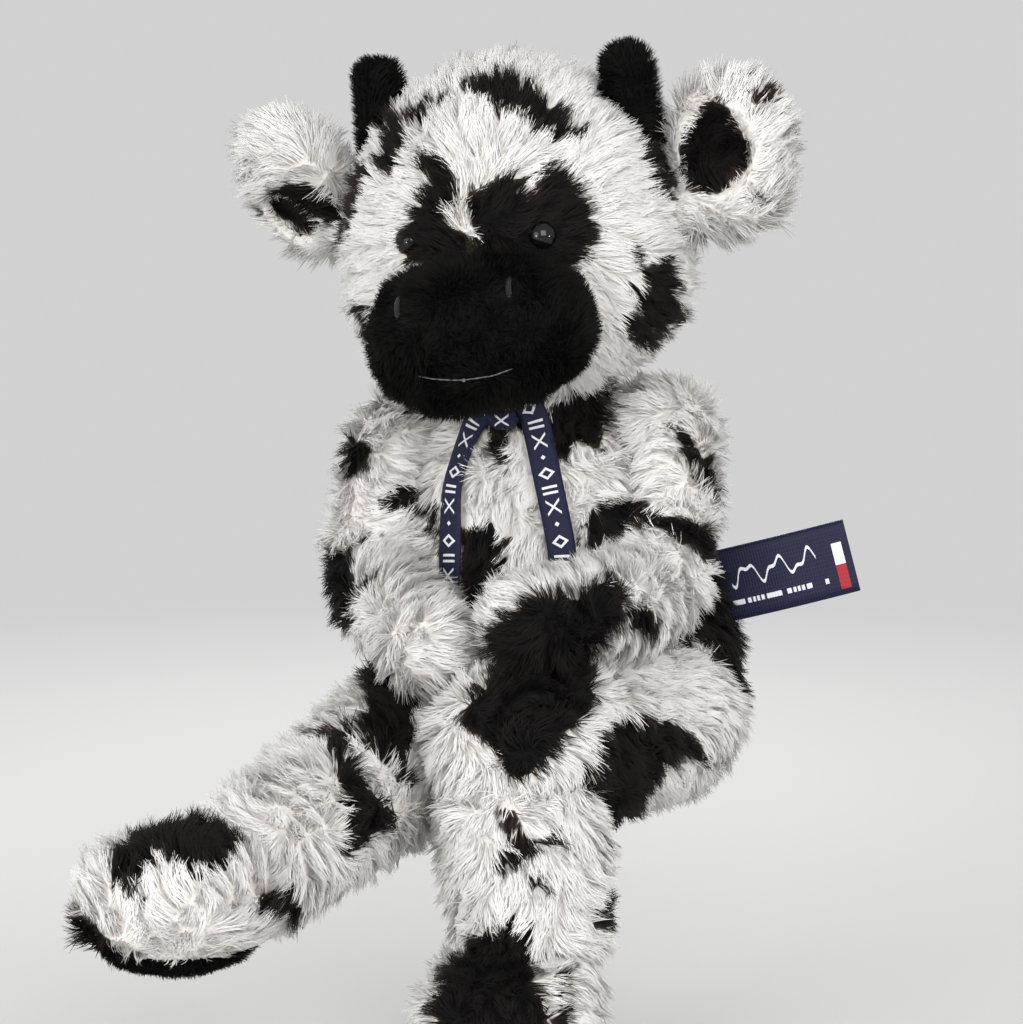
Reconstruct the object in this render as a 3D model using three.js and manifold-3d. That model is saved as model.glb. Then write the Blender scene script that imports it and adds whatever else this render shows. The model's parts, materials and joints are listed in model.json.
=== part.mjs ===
// A limp plush cow with long arms and legs, on an edge: one leg hangs down and the other reaches forward.
// Millimetres, +Z up. The origin is the middle of the seat, the flat underside of the torso.
// The chest faces -Y, and the cow's own left is +X. Joints are balls in hollows, a clearance apart.
import * as THREE from 'three';
import { mergeVertices } from 'three/addons/utils/BufferGeometryUtils.js';
import Module from 'manifold-3d';

const wasm = await Module();
wasm.setup();

// Driving sizes, in millimetres
const gap = 0.3;
const torso = {
  height: 141, halfWidth: 63, halfDepth: 47, lean: -13, slump: -3, neckRadius: 27, seatSink: 0.5,
};
const head = { halfWidth: 60.5, halfDepth: 57, crown: 68, chin: 46, stand: 7, forward: 9, aside: -4 };
const muzzle = { halfWidth: 38.5, halfDepth: 32, halfHeight: 26 };
const horn = { baseRadius: 10, tipRadius: 8, length: 20, sunk: 7 };
const ear = {
  out: 18, lift: 23, halfOut: 20.5, halfThick: 13, halfAcross: 28, cupOut: 13, cupDeep: 10, cupAcross: 17,
  rootRadius: 9, rootSunk: 6, liningThickness: 2.4,
};
const eye = {
  radius: 5, domeHeight: 3.6, shankRadius: 1.6, shankLength: 13, washerRadius: 7, washerThickness: 1.6,
  washerDepth: 9,
};
const nostril = { halfWidth: 1.7, halfHeight: 4.4, halfDepth: 1.1 };
const mouth = { threadRadius: 0.7, halfWidth: 19, drop: 4, sag: 2.6 };
const arm = {
  shoulderRadius: 18.5, elbowRadius: 16.5, wristRadius: 14.5, handRadius: 15.5, shoulderStand: 11, armpit: 1.8,
};
const armPoses = {
  left: {
    shoulderDrop: 12, elbowOut: 2, elbowForward: 35, elbowLift: 2.5, handIn: 28, handForward: 101, handLift: 0.5,
  },
  right: {
    shoulderDrop: 19, elbowOut: 5, elbowForward: 22, elbowLift: 3, handIn: 30, handForward: 81, handLift: 6,
  },
};
const leg = {
  hipRadius: 28, thighLength: 86, shinLength: 56, kneesAside: -29.5, kneeSpace: 2.8,
  left: { knee: 29.5, ankle: 25 },
  right: { knee: 25, ankle: 22 },
};
const foot = {
  halfLength: 33, halfWidth: 28, halfHeight: 23, reach: 24, toe: 14, soleHeight: 10, soleInset: 1.5,
};
const tail = { radius: 6.5, length: 46, ballRadius: 8, tuftRadius: 10, tuftLength: 28, sink: 2 };
const ribbon = {
  width: 10, thickness: 1, lift: 0.6, drop: 1, knotWidth: 11, knotHeight: 11, knotDepth: 9, knotAside: -5,
};
const ribbonEnds = { left: { drift: 11, length: 57 }, right: { drift: -6, length: 63 } };
const label = { length: 55, hidden: 7, width: 27, layer: 0.6, fold: 1.6, bow: 2 };

// Poses, in degrees. Yaw runs from -Y towards +X, and pitch from level to up.
const headPose = { yaw: -3, pitch: 16, roll: -3.5 };
const muzzleRoll = -8;
const hornLean = 2;
const earPoses = {
  left: { lean: 4, turn: 12, pitch: -12 },
  right: { lean: 1, turn: 22, pitch: 16 },
};
const eyePose = { yaw: 26.5, pitch: 22 };
const nostrilSlant = 14;
const legPoses = {
  left: { pitch: 1, shinYaw: 35, shinPitch: -78, swingYaw: -4, toeYaw: -35, toePitch: -25 },
  right: { pitch: -9, shinYaw: -20, shinPitch: -14, swingYaw: -20, toeYaw: -35, toePitch: 3 },
};
const labelPose = { rise: 15, yaw: 4 };
const lowestHip = -50;
const mostFolded = { left: 0, right: 60 };

// Places, as shares of the forms that carry them
const hipShares = { out: 0.585, forward: 0.47 };
const hornShares = { across: 0.75, behind: 0.14 };
const earShares = { back: 0.05, up: 0.1, sunk: 0.72 };
const earCupShares = {
  left: { inwards: 0.2, up: 0.1, across: 1 },
  right: { inwards: -0.05, up: -0.3, across: 0.72 },
};
const muzzleShares = { forward: 0.955, drop: 0.19 };
const nostrilShares = { across: 0.52, up: 0.68 };
const tailShares = { height: 0.44 };
const labelShares = { height: 0.5 };

// Facets round and along each form, and how square the firm forms are: 2 is an ellipsoid.
const sideCounts = {
  torso: 24, head: 24, muzzle: 18, horn: 10, ear: 14, limb: 16, hollow: 20, foot: 18, tail: 10, eye: 20, trim: 12,
  thread: 6,
};
const ringCounts = {
  torso: 10, head: 12, muzzle: 8, horn: 3, ear: 8, cup: 6, arm: 7, leg: 3, foot: 5, tail: 6, trim: 6,
  mouth: 12,
};
const squareness = { cheeks: 2.6, muzzle: 2.4, ear: 2.3, foot: 2.6, knot: 3 };

const { degToRad, lerp } = THREE.MathUtils;
const vector = (x, y, z) => new THREE.Vector3(x, y, z);
const up = vector(0, 0, 1);
const sides = { left: 1, right: -1 };

// A facet lies inside its circle by this share, so that a hollow grown by it clears what turns in it.
const facetShare = (count) => Math.cos(Math.PI / count);
const clearOf = (radius, count) => (radius + gap) / facetShare(count) ** 2;

// The unit vector that points at this yaw and pitch.
function heading(yaw, pitch) {
  const flat = Math.cos(degToRad(pitch));
  return vector(Math.sin(degToRad(yaw)) * flat, -Math.cos(degToRad(yaw)) * flat, Math.sin(degToRad(pitch)));
}

// Solids

function toSolid(geometry) {
  const bare = geometry.clone();
  for (const name of Object.keys(bare.attributes)) if (name !== 'position') bare.deleteAttribute(name);
  const merged = mergeVertices(bare, gap / 1000);
  return new wasm.Manifold(new wasm.Mesh({
    numProp: 3,
    vertProperties: new Float32Array(merged.attributes.position.array),
    triVerts: new Uint32Array(merged.index.array),
  }));
}

function toMesh(name, solid, material) {
  const result = solid.getMesh();
  const geometry = new THREE.BufferGeometry();
  geometry.setAttribute('position', new THREE.BufferAttribute(new Float32Array(result.vertProperties), 3));
  geometry.setIndex([...result.triVerts]);
  geometry.computeVertexNormals();
  const mesh = new THREE.Mesh(geometry, material);
  mesh.name = name;
  return mesh;
}

const moved = (solid, matrix) => solid.transform(matrix.elements);
const centred = (solid, at) => solid.translate([at.x, at.y, at.z]);

// The turn by an angle about an axis through a point.
function turnAbout(point, axis, angle) {
  const there = new THREE.Matrix4().makeTranslation(point.x, point.y, point.z);
  const back = new THREE.Matrix4().makeTranslation(-point.x, -point.y, -point.z);
  const turn = new THREE.Matrix4().makeRotationAxis(axis, degToRad(angle));
  return there.multiply(turn).multiply(back);
}

// A closed skin over rings of equal length, with a point at each end.
function skin(rings, start, end) {
  const around = rings[0].length;
  const points = [start, ...rings.flat(), end];
  const index = [];
  const at = (ring, side) => 1 + ring * around + (side % around);
  for (let side = 0; side < around; side += 1) {
    index.push(0, at(0, side + 1), at(0, side));
    for (let ring = 0; ring + 1 < rings.length; ring += 1) {
      index.push(at(ring, side), at(ring, side + 1), at(ring + 1, side));
      index.push(at(ring, side + 1), at(ring + 1, side + 1), at(ring + 1, side));
    }
    index.push(at(rings.length - 1, side), at(rings.length - 1, side + 1), points.length - 1);
  }
  const geometry = new THREE.BufferGeometry().setFromPoints(points);
  geometry.setIndex(index);
  return geometry;
}

// A stuffed tube with round ends, along a smooth path, with its own radius at each point of the path.
function softTube(points, radii, around, rings, grow = (radius) => radius) {
  const path = new THREE.CatmullRomCurve3(points);
  const swell = new THREE.CatmullRomCurve3(radii.map((radius) => vector(radius, 0, 0)));
  const frames = path.computeFrenetFrames(rings, false);
  const loops = [];
  const addLoop = (centre, radius, frame) => {
    const loop = [];
    for (let side = 0; side < around; side += 1) {
      const angle = (2 * Math.PI * side) / around;
      loop.push(centre.clone()
        .addScaledVector(frames.normals[frame], radius * Math.cos(angle))
        .addScaledVector(frames.binormals[frame], radius * Math.sin(angle)));
    }
    loops.push(loop);
  };
  const capSteps = Math.round(around / 4) - 1;
  const first = grow(radii[0]);
  for (let step = 1; step <= capSteps; step += 1) {
    const angle = (Math.PI / 2) * (step / (capSteps + 1));
    const centre = points[0].clone().addScaledVector(frames.tangents[0], -first * Math.cos(angle));
    addLoop(centre, first * Math.sin(angle), 0);
  }
  for (let ring = 0; ring <= rings; ring += 1) {
    addLoop(path.getPointAt(ring / rings), grow(swell.getPoint(path.getUtoTmapping(ring / rings)).x), ring);
  }
  const last = grow(radii.at(-1));
  for (let step = capSteps; step >= 1; step -= 1) {
    const angle = (Math.PI / 2) * (step / (capSteps + 1));
    const centre = points.at(-1).clone().addScaledVector(frames.tangents[rings], last * Math.cos(angle));
    addLoop(centre, last * Math.sin(angle), rings);
  }
  const start = points[0].clone().addScaledVector(frames.tangents[0], -first);
  const end = points.at(-1).clone().addScaledVector(frames.tangents[rings], last);
  return toSolid(skin(loops, start, end));
}

function ball(centre, radius, around) {
  return centred(toSolid(new THREE.SphereGeometry(radius, around, around / 2)), centre);
}

// A ball with three half sizes, which a squareness over 2 fills out towards its corners.
function roundForm(halfSizes, around, rings, square = 2) {
  const geometry = new THREE.SphereGeometry(1, around, rings).rotateX(Math.PI / 2);
  const place = geometry.attributes.position;
  for (let index = 0; index < place.count; index += 1) {
    const point = vector(place.getX(index), place.getY(index), place.getZ(index));
    const sum = point.toArray().reduce((total, value) => total + Math.abs(value) ** square, 0);
    point.multiplyScalar(1 / sum ** (1 / square)).multiply(halfSizes);
    place.setXYZ(index, ...point.toArray());
  }
  return toSolid(geometry);
}

// A matrix with its own origin, whose +Z looks along a direction and whose +X keeps nearest to a side.
function frameAlong(origin, direction, side) {
  const z = direction.clone().normalize();
  const y = z.clone().cross(side).normalize();
  const x = y.clone().cross(z);
  return new THREE.Matrix4().makeBasis(x, y, z).setPosition(origin);
}

const material = (color, roughness) => new THREE.MeshStandardMaterial({ color, roughness, metalness: 0 });
const whiteFur = material(0xf1efec, 0.95);
const blackFur = material(0x15130f, 0.9);
const glossBlack = material(0x050506, 0.15);
const greyThread = material(0x77757a, 0.6);
const navyWeave = material(0x151a3c, 0.7);
const paleWasher = material(0xe4e4e0, 0.5);

const cow = new THREE.Group();

// Torso: a pear with a flat seat and a round neck that turns in the head. Each row is a height, a half
// width and a half depth, as shares of the torso's own. Above the shoulders it narrows to the neck.
const torsoShares = [
  [0, 0.72, 0.72], [0.045, 0.88, 0.86], [0.15, 0.98, 0.97], [0.3, 1, 1], [0.46, 0.955, 0.97],
  [0.62, 0.87, 0.89], [0.78, 0.77, 0.78], [0.9, 0.66, 0.66], [0.965, 0.56, 0.6], [1, 0.45, 0.56],
];
const neckShare = 0.85;

const torsoSections = new THREE.CatmullRomCurve3(torsoShares.map((shares) => vector(...shares)))
  .getPoints(ringCounts.torso)
  .map(({ x: height, y: width, z: depth }) => {
    const round = THREE.MathUtils.smoothstep(height, neckShare, 1);
    return {
      z: torso.height * height,
      x: torso.lean * height ** 2,
      y: torso.slump * height,
      halfWidth: lerp(torso.halfWidth * width, torso.neckRadius, round),
      halfDepth: lerp(torso.halfDepth * depth, torso.neckRadius, round),
    };
  });

function torsoAt(z) {
  const upper = Math.max(1, torsoSections.findIndex((section) => section.z >= z));
  const low = torsoSections[upper - 1];
  const high = torsoSections[upper];
  const between = (key) => lerp(low[key], high[key], (z - low.z) / (high.z - low.z));
  return { x: between('x'), y: between('y'), halfWidth: between('halfWidth'), halfDepth: between('halfDepth') };
}

// The point on the torso at a height and an angle round it, moved outwards by a distance.
function onTorso(z, angle, outwards) {
  const section = torsoAt(z);
  const x = section.x + (section.halfWidth + outwards) * Math.cos(angle);
  const y = section.y + (section.halfDepth + outwards) * Math.sin(angle);
  return vector(x, y, z);
}

// The point on the torso's front at a place across and a height, moved outwards by a distance.
function onChest(x, z, outwards) {
  const section = torsoAt(z);
  return onTorso(z, -Math.acos((x - section.x) / (section.halfWidth + outwards)), outwards);
}

const neckJoint = vector(torso.lean, torso.slump, torso.height);

function torsoForm(grow) {
  const circle = (place) => Array.from({ length: sideCounts.torso }, (_, side) => (
    place((2 * Math.PI * side) / sideCounts.torso)));
  const loops = torsoSections.map((section) => circle((angle) => vector(
    section.x + (section.halfWidth + grow) * Math.cos(angle),
    section.y + (section.halfDepth + grow) * Math.sin(angle),
    section.z,
  )));
  const radius = torso.neckRadius + grow;
  const capSteps = sideCounts.torso / 4;
  for (let step = 1; step < capSteps; step += 1) {
    const rise = (Math.PI / 2) * (step / capSteps);
    const reach = radius * Math.cos(rise);
    loops.push(circle((angle) => vector(
      neckJoint.x + reach * Math.cos(angle),
      neckJoint.y + reach * Math.sin(angle),
      neckJoint.z + radius * Math.sin(rise),
    )));
  }
  return toSolid(skin(loops, vector(0, 0, -torso.seatSink), neckJoint.clone().addScaledVector(up, radius)));
}

// The seat is flat: the lowest ring is level, and the dome under it is cut away.
const underSeat = new THREE.BoxGeometry(3 * torso.halfWidth, 3 * torso.halfDepth, torso.halfDepth);
const torsoGrown = torsoForm(gap);
let torsoSolid = torsoForm(0).subtract(toSolid(underSeat.translate(0, 0, -torso.halfDepth / 2)));

// Legs: each thigh turns at the hip, and each shin at the crease of the knee. The knees lie side by side.
const hipJoint = (side) => vector(
  sides[side] * torso.halfWidth * hipShares.out,
  -torso.halfDepth * hipShares.forward,
  leg.hipRadius + gap,
);

function thighHeading(side) {
  const { pitch } = legPoses[side];
  const kneeAcross = leg.kneesAside + sides[side] * (leg[side].knee + leg.kneeSpace / 2);
  const drift = (kneeAcross - hipJoint(side).x) / (leg.thighLength * Math.cos(degToRad(pitch)));
  return heading(THREE.MathUtils.radToDeg(Math.asin(drift)), pitch);
}

const kneeJoint = (side) => hipJoint(side).addScaledVector(thighHeading(side), leg.thighLength);
const ankle = (side) => kneeJoint(side)
  .addScaledVector(heading(legPoses[side].shinYaw, legPoses[side].shinPitch), leg.shinLength);

function thighForm(side, grow, around = sideCounts.limb) {
  const middle = hipJoint(side).lerp(kneeJoint(side), 0.5);
  const radii = [leg.hipRadius, (leg.hipRadius + leg[side].knee) / 2, leg[side].knee];
  return softTube([hipJoint(side), middle, kneeJoint(side)], radii, around, ringCounts.leg, grow);
}

// The room that a thigh swings down through, as wide as the thigh, seen along the hip's axis.
function hipFan(side, radius) {
  const { pitch } = legPoses[side];
  const lowest = degToRad(pitch + lowestHip);
  const fan = new THREE.Shape();
  fan.moveTo(0, 0);
  fan.lineTo(leg.thighLength, leg.thighLength * Math.tan(degToRad(pitch)));
  fan.lineTo(leg.thighLength * Math.cos(lowest) - radius, leg.thighLength * Math.sin(lowest) - radius);
  fan.lineTo(radius * Math.sin(lowest), -radius * Math.cos(lowest));
  fan.closePath();
  const prism = new THREE.ExtrudeGeometry(fan, { depth: 2 * radius, bevelEnabled: false });
  const ahead = thighHeading(side).setZ(0).normalize();
  const frame = new THREE.Matrix4().makeBasis(ahead, up, ahead.clone().cross(up)).setPosition(hipJoint(side));
  return moved(toSolid(prism.translate(0, 0, -radius)), frame);
}

function footFrame(side) {
  const pose = legPoses[side];
  const toe = heading(pose.toeYaw, pose.toePitch);
  const centre = ankle(side)
    .addScaledVector(heading(pose.shinYaw, pose.shinPitch), foot.reach)
    .addScaledVector(toe, foot.toe);
  const across = toe.clone().cross(up).normalize();
  return new THREE.Matrix4().makeBasis(across, toe, across.clone().cross(toe)).setPosition(centre);
}

// A foot is a flattened ball, turned about its own upright. The sole is its lowest slice.
function footForm(from, to, inset, grow) {
  const outline = [new THREE.Vector2(0, from)];
  const steps = Math.ceil((ringCounts.foot * (to - from)) / (2 * foot.halfHeight)) + 1;
  for (let step = 0; step <= steps; step += 1) {
    const z = lerp(from, to, step / steps);
    const rest = 1 - Math.abs(z / foot.halfHeight) ** squareness.foot;
    outline.push(new THREE.Vector2(foot.halfWidth * Math.sqrt(rest) - inset, z));
  }
  outline.push(new THREE.Vector2(0, to));
  const round = new THREE.LatheGeometry(outline, sideCounts.foot).rotateX(Math.PI / 2);
  return toSolid(round.scale(
    (foot.halfWidth + grow) / foot.halfWidth,
    (foot.halfLength + grow) / foot.halfWidth,
    (foot.halfHeight + grow) / foot.halfHeight,
  ));
}

const footShares = { top: 0.985, bottom: 0.9 };
const footTop = foot.halfHeight * footShares.top;
const footBottom = -foot.halfHeight * footShares.bottom;
const soleLine = -foot.halfHeight + foot.soleHeight;

for (const side of ['left', 'right']) {
  const pose = legPoses[side];
  const clearLeg = (radius) => clearOf(radius, sideCounts.hollow);
  const thighRoom = thighForm(side, clearLeg, sideCounts.hollow);
  torsoSolid = torsoSolid.subtract(thighRoom).subtract(hipFan(side, clearLeg(leg.hipRadius)));
  cow.add(toMesh(`thigh_${side}`, thighForm(side), whiteFur));

  const frame = footFrame(side);
  const footRoom = moved(footForm(-footTop, footTop, 0, 2 * gap), frame);
  const shinPoints = [kneeJoint(side), kneeJoint(side).lerp(ankle(side), 0.5), ankle(side)];
  const shinRadii = [leg[side].knee, (leg[side].knee + leg[side].ankle) / 2, leg[side].ankle];
  const kneeAxis = heading(pose.swingYaw + 90, 0);
  const folded = turnAbout(kneeJoint(side), kneeAxis, -mostFolded[side]);
  const shin = softTube(shinPoints, shinRadii, sideCounts.limb, ringCounts.leg)
    .subtract(moved(thighRoom, folded))
    .subtract(footRoom);
  cow.add(toMesh(`shin_${side}`, shin, whiteFur));

  cow.add(toMesh(`foot_${side}`, moved(footForm(soleLine, footTop, 0, 0), frame), whiteFur));
  const sole = footForm(footBottom, soleLine - gap, foot.soleInset, 0);
  cow.add(toMesh(`sole_${side}`, moved(sole, frame), blackFur));
}

// Arms: each turns at the shoulder. The left elbow and both hands keep clear of the lap.
const wristShare = 0.6;

const shoulderJoint = (side) => {
  const height = torso.height - armPoses[side].shoulderDrop;
  return onTorso(height, side === 'left' ? 0 : Math.PI, arm.shoulderStand);
};

function armForm(side, grow) {
  const pose = armPoses[side];
  const out = sides[side];
  const shoulder = shoulderJoint(side);
  const elbowHeight = hipJoint(side).z + leg.hipRadius + arm.elbowRadius + pose.elbowLift;
  const handHeight = kneeJoint(side).z + leg[side].knee + arm.handRadius + pose.handLift;
  const elbow = vector(shoulder.x + out * pose.elbowOut, shoulder.y - pose.elbowForward, elbowHeight);
  const hand = vector(shoulder.x - out * pose.handIn, shoulder.y - pose.handForward, handHeight);
  const points = [shoulder, elbow, elbow.clone().lerp(hand, wristShare), hand];
  const radii = [arm.shoulderRadius, arm.elbowRadius, arm.wristRadius, arm.handRadius];
  return softTube(points, radii, sideCounts.limb, ringCounts.arm, grow);
}

const shoulderRoom = (side) => ball(
  shoulderJoint(side), clearOf(arm.shoulderRadius, sideCounts.limb), sideCounts.limb);

// An arm is raised forward and outward about this axis, and its armpit is cut clear of the torso on the way.
const shoulderAxis = (side) => vector(-1, -sides[side], sides[side]).normalize();
const armpitPoses = [0, 30];

for (const side of ['left', 'right']) {
  torsoSolid = torsoSolid.subtract(shoulderRoom(side));
  const shoulderBall = ball(shoulderJoint(side), arm.shoulderRadius + gap, sideCounts.hollow);
  const besideTorso = torsoForm(arm.armpit).subtract(shoulderBall);
  let limb = armForm(side).subtract(thighForm(side, (radius) => radius + gap));
  for (const raised of armpitPoses) {
    limb = limb.subtract(moved(besideTorso, turnAbout(shoulderJoint(side), shoulderAxis(side), -raised)));
  }
  cow.add(toMesh(`arm_${side}`, limb, whiteFur));
}

// Head: the neck ball turns in its hollow. What is sewn to the head shares its frame.
const headGroup = new THREE.Group();
headGroup.position.copy(neckJoint).add(vector(head.aside, -head.forward, head.chin + head.stand));
headGroup.rotation.set(degToRad(headPose.pitch), degToRad(headPose.roll), degToRad(headPose.yaw), 'ZXY');
headGroup.updateMatrix();
const intoHead = headGroup.matrix.clone().invert();
const crownSizes = vector(head.halfWidth, head.halfDepth, head.crown);

// The head is an egg. Its crown stands higher than its chin drops, and its cheeks are full.
function headForm(grow) {
  const geometry = new THREE.SphereGeometry(1, sideCounts.head, ringCounts.head).rotateX(Math.PI / 2);
  const place = geometry.attributes.position;
  for (let index = 0; index < place.count; index += 1) {
    const point = vector(place.getX(index), place.getY(index), place.getZ(index));
    const square = point.z < 0 ? squareness.cheeks : 2;
    const sum = Math.hypot(point.x, point.y) ** square + Math.abs(point.z) ** square;
    const height = (point.z < 0 ? head.chin : head.crown) + grow;
    const sizes = vector(head.halfWidth + grow, head.halfDepth + grow, height);
    point.multiplyScalar(1 / sum ** (1 / square)).multiply(sizes);
    place.setXYZ(index, ...point.toArray());
  }
  return toSolid(geometry);
}

const headGrown = headForm(gap);
const neckRoom = ball(neckJoint.clone().applyMatrix4(intoHead), clearOf(torso.neckRadius, sideCounts.torso),
  sideCounts.torso);
let headSolid = headForm(0).subtract(neckRoom);

// Muzzle, with a mouth of thread and two nostril stitches, which lie half sunk in its plush
const muzzleSizes = vector(muzzle.halfWidth, muzzle.halfDepth, muzzle.halfHeight);
const muzzleFrame = new THREE.Matrix4().makeRotationY(degToRad(muzzleRoll))
  .setPosition(0, -head.halfDepth * muzzleShares.forward, -head.chin * muzzleShares.drop);
const muzzleForm = roundForm(muzzleSizes, sideCounts.muzzle, ringCounts.muzzle, squareness.muzzle);
let muzzleSolid = moved(muzzleForm, muzzleFrame).subtract(headGrown);

// The point on the muzzle's smooth front, in its own frame, at a place across and up.
function onMuzzle(x, z, outwards) {
  const power = squareness.muzzle;
  const rest = 1 - Math.abs(x / muzzle.halfWidth) ** power - Math.abs(z / muzzle.halfHeight) ** power;
  return vector(x, -muzzle.halfDepth * rest ** (1 / power) - outwards, z);
}

const mouthShares = [-1, -0.55, 0, 0.55, 1];
const mouthPoints = mouthShares.map((share) => {
  const sag = mouth.sag * (1 - share ** 2);
  return onMuzzle(mouth.halfWidth * share, -mouth.drop - sag, mouth.threadRadius / 2).applyMatrix4(muzzleFrame);
});
const mouthForm = (radius) => softTube(
  mouthPoints, mouthPoints.map(() => radius), sideCounts.thread, ringCounts.mouth);
muzzleSolid = muzzleSolid.subtract(mouthForm(clearOf(mouth.threadRadius, sideCounts.thread)));
headGroup.add(toMesh('mouth_thread', mouthForm(mouth.threadRadius), greyThread));

for (const side of ['left', 'right']) {
  const across = sides[side] * muzzle.halfWidth * nostrilShares.across;
  const slant = degToRad(sides[side] * nostrilSlant);
  const ends = [-nostril.halfHeight, nostril.halfHeight].map((along) => onMuzzle(
    across + along * Math.sin(slant), muzzle.halfHeight * nostrilShares.up + along * Math.cos(slant), 0));
  const middle = ends[0].clone().lerp(ends[1], 0.5);
  const frame = muzzleFrame.clone().multiply(frameAlong(middle, ends[1].clone().sub(ends[0]), vector(1, 0, 0)));
  const stitchSizes = vector(nostril.halfWidth, nostril.halfDepth, nostril.halfHeight);
  const stitch = (grow) => moved(
    roundForm(stitchSizes.clone().addScalar(grow), sideCounts.trim, ringCounts.trim), frame);
  muzzleSolid = muzzleSolid.subtract(stitch(gap));
  headGroup.add(toMesh(`nostril_${side}`, stitch(0), glossBlack));
}
headGroup.add(toMesh('muzzle', muzzleSolid, blackFur));

// Horns: two stubs on the top corners of the head.
for (const side of ['left', 'right']) {
  const out = sides[side];
  const rest = Math.sqrt(1 - hornShares.across ** 2 - hornShares.behind ** 2);
  const base = vector(out * hornShares.across, hornShares.behind, rest).multiply(crownSizes);
  const lean = vector(out * Math.sin(degToRad(hornLean)), 0, Math.cos(degToRad(hornLean)));
  base.addScaledVector(up, -horn.sunk);
  const tip = base.clone().addScaledVector(lean, horn.length + horn.sunk);
  const radii = [horn.baseRadius, (horn.baseRadius + horn.tipRadius) / 2, horn.tipRadius];
  const form = softTube([base, base.clone().lerp(tip, 0.5), tip], radii, sideCounts.horn, ringCounts.horn);
  headGroup.add(toMesh(`horn_${side}`, form.subtract(headGrown), blackFur));
}

// Eyes: a dome on a shank, held by a washer in a pocket of the head. Each profile is turned about the
// shank, with the dome at +Z. The room for dome, shank and washer is a stepped bore, open at the dome.
const flatPoints = (rows) => rows.map((row) => new THREE.Vector2(...row));
const turned = (profile, around) => toSolid(new THREE.LatheGeometry(profile, around).rotateX(Math.PI / 2));
const washerLow = -eye.washerDepth - eye.washerThickness;

function eyeProfile() {
  const steps = 5;
  const shank = [[0, -eye.shankLength], [eye.shankRadius, -eye.shankLength], [eye.shankRadius, 0]];
  const dome = Array.from({ length: steps }, (_, step) => {
    const angle = (Math.PI / 2) * (step / steps);
    return [eye.radius * Math.cos(angle), eye.domeHeight * Math.sin(angle)];
  });
  return flatPoints([...shank, ...dome, [0, eye.domeHeight]]);
}

function washerProfile() {
  const inner = eye.shankRadius + gap;
  return flatPoints([
    [inner, washerLow], [eye.washerRadius, washerLow], [eye.washerRadius, -eye.washerDepth],
    [inner, -eye.washerDepth], [inner, washerLow],
  ]);
}

function eyeRoom() {
  const clear = (radius) => clearOf(radius, sideCounts.trim);
  return flatPoints([
    [0, -eye.shankLength - gap], [clear(eye.shankRadius), -eye.shankLength - gap],
    [clear(eye.shankRadius), washerLow - gap], [clear(eye.washerRadius), washerLow - gap],
    [clear(eye.washerRadius), gap - eye.washerDepth], [clear(eye.shankRadius), gap - eye.washerDepth],
    [clear(eye.shankRadius), -gap], [clear(eye.radius), -gap],
    [clear(eye.radius), eye.domeHeight], [0, eye.domeHeight],
  ]);
}

for (const side of ['left', 'right']) {
  const look = heading(sides[side] * eyePose.yaw, eyePose.pitch);
  const seat = look.clone().multiplyScalar(1 / look.clone().divide(crownSizes).length());
  const frame = frameAlong(seat, look, vector(1, 0, 0));
  headSolid = headSolid.subtract(moved(turned(eyeRoom(), sideCounts.trim), frame));
  headGroup.add(toMesh(`eye_${side}`, moved(turned(eyeProfile(), sideCounts.eye), frame), glossBlack));
  headGroup.add(toMesh(`eye_washer_${side}`, moved(turned(washerProfile(), sideCounts.trim), frame), paleWasher));
}

// Ears: each narrows to a root on the side of the head, and its cup holds a dark lining. In the ear's frame
// the root is the origin, +Z points up along the ear and -Y is the side that the cup opens to.
const earSizes = vector(ear.halfOut, ear.halfThick, ear.halfAcross);

for (const side of ['left', 'right']) {
  const pose = earPoses[side];
  const cupPlace = earCupShares[side];
  const out = sides[side];
  const seat = vector(out, earShares.back, earShares.up).normalize().multiply(crownSizes);
  const frame = new THREE.Matrix4().makeTranslation(seat.x, seat.y, seat.z)
    .multiply(new THREE.Matrix4().makeRotationY(degToRad(out * pose.lean)))
    .multiply(new THREE.Matrix4().makeRotationZ(degToRad(out * pose.turn)))
    .multiply(new THREE.Matrix4().makeRotationX(degToRad(pose.pitch)));
  const centre = vector(out * ear.out, 0, ear.lift);
  const rootStart = vector(-out * ear.rootSunk, 0, 0);
  const root = softTube([rootStart, rootStart.clone().lerp(centre, 0.5), centre],
    [ear.rootRadius, ear.rootRadius, ear.rootRadius], sideCounts.horn, ringCounts.horn);
  const cushion = centred(roundForm(earSizes, sideCounts.ear, ringCounts.ear, squareness.ear), centre).add(root);

  const cupSizes = vector(ear.cupOut, ear.cupDeep, ear.cupAcross * cupPlace.across);
  const cupForm = (sizes, at) => centred(roundForm(sizes, sideCounts.ear, ringCounts.cup), at);
  const cupCentre = centre.clone().add(vector(
    -out * ear.halfOut * cupPlace.inwards,
    -ear.halfThick * earShares.sunk,
    ear.halfAcross * cupPlace.up,
  ));
  const earSolid = moved(cushion.subtract(cupForm(cupSizes, cupCentre)), frame);
  headGroup.add(toMesh(`ear_${side}`, earSolid.subtract(headGrown), whiteFur));

  const inner = cupForm(cupSizes.clone().subScalar(gap), cupCentre);
  const scoop = cupForm(cupSizes, cupCentre.clone().sub(vector(0, ear.liningThickness, 0)));
  const lining = moved(inner.subtract(scoop).intersect(cushion), frame);
  headGroup.add(toMesh(`ear_lining_${side}`, lining.subtract(headGrown), blackFur));
}

headGroup.add(toMesh('head', headSolid, whiteFur));
cow.add(headGroup);

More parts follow.
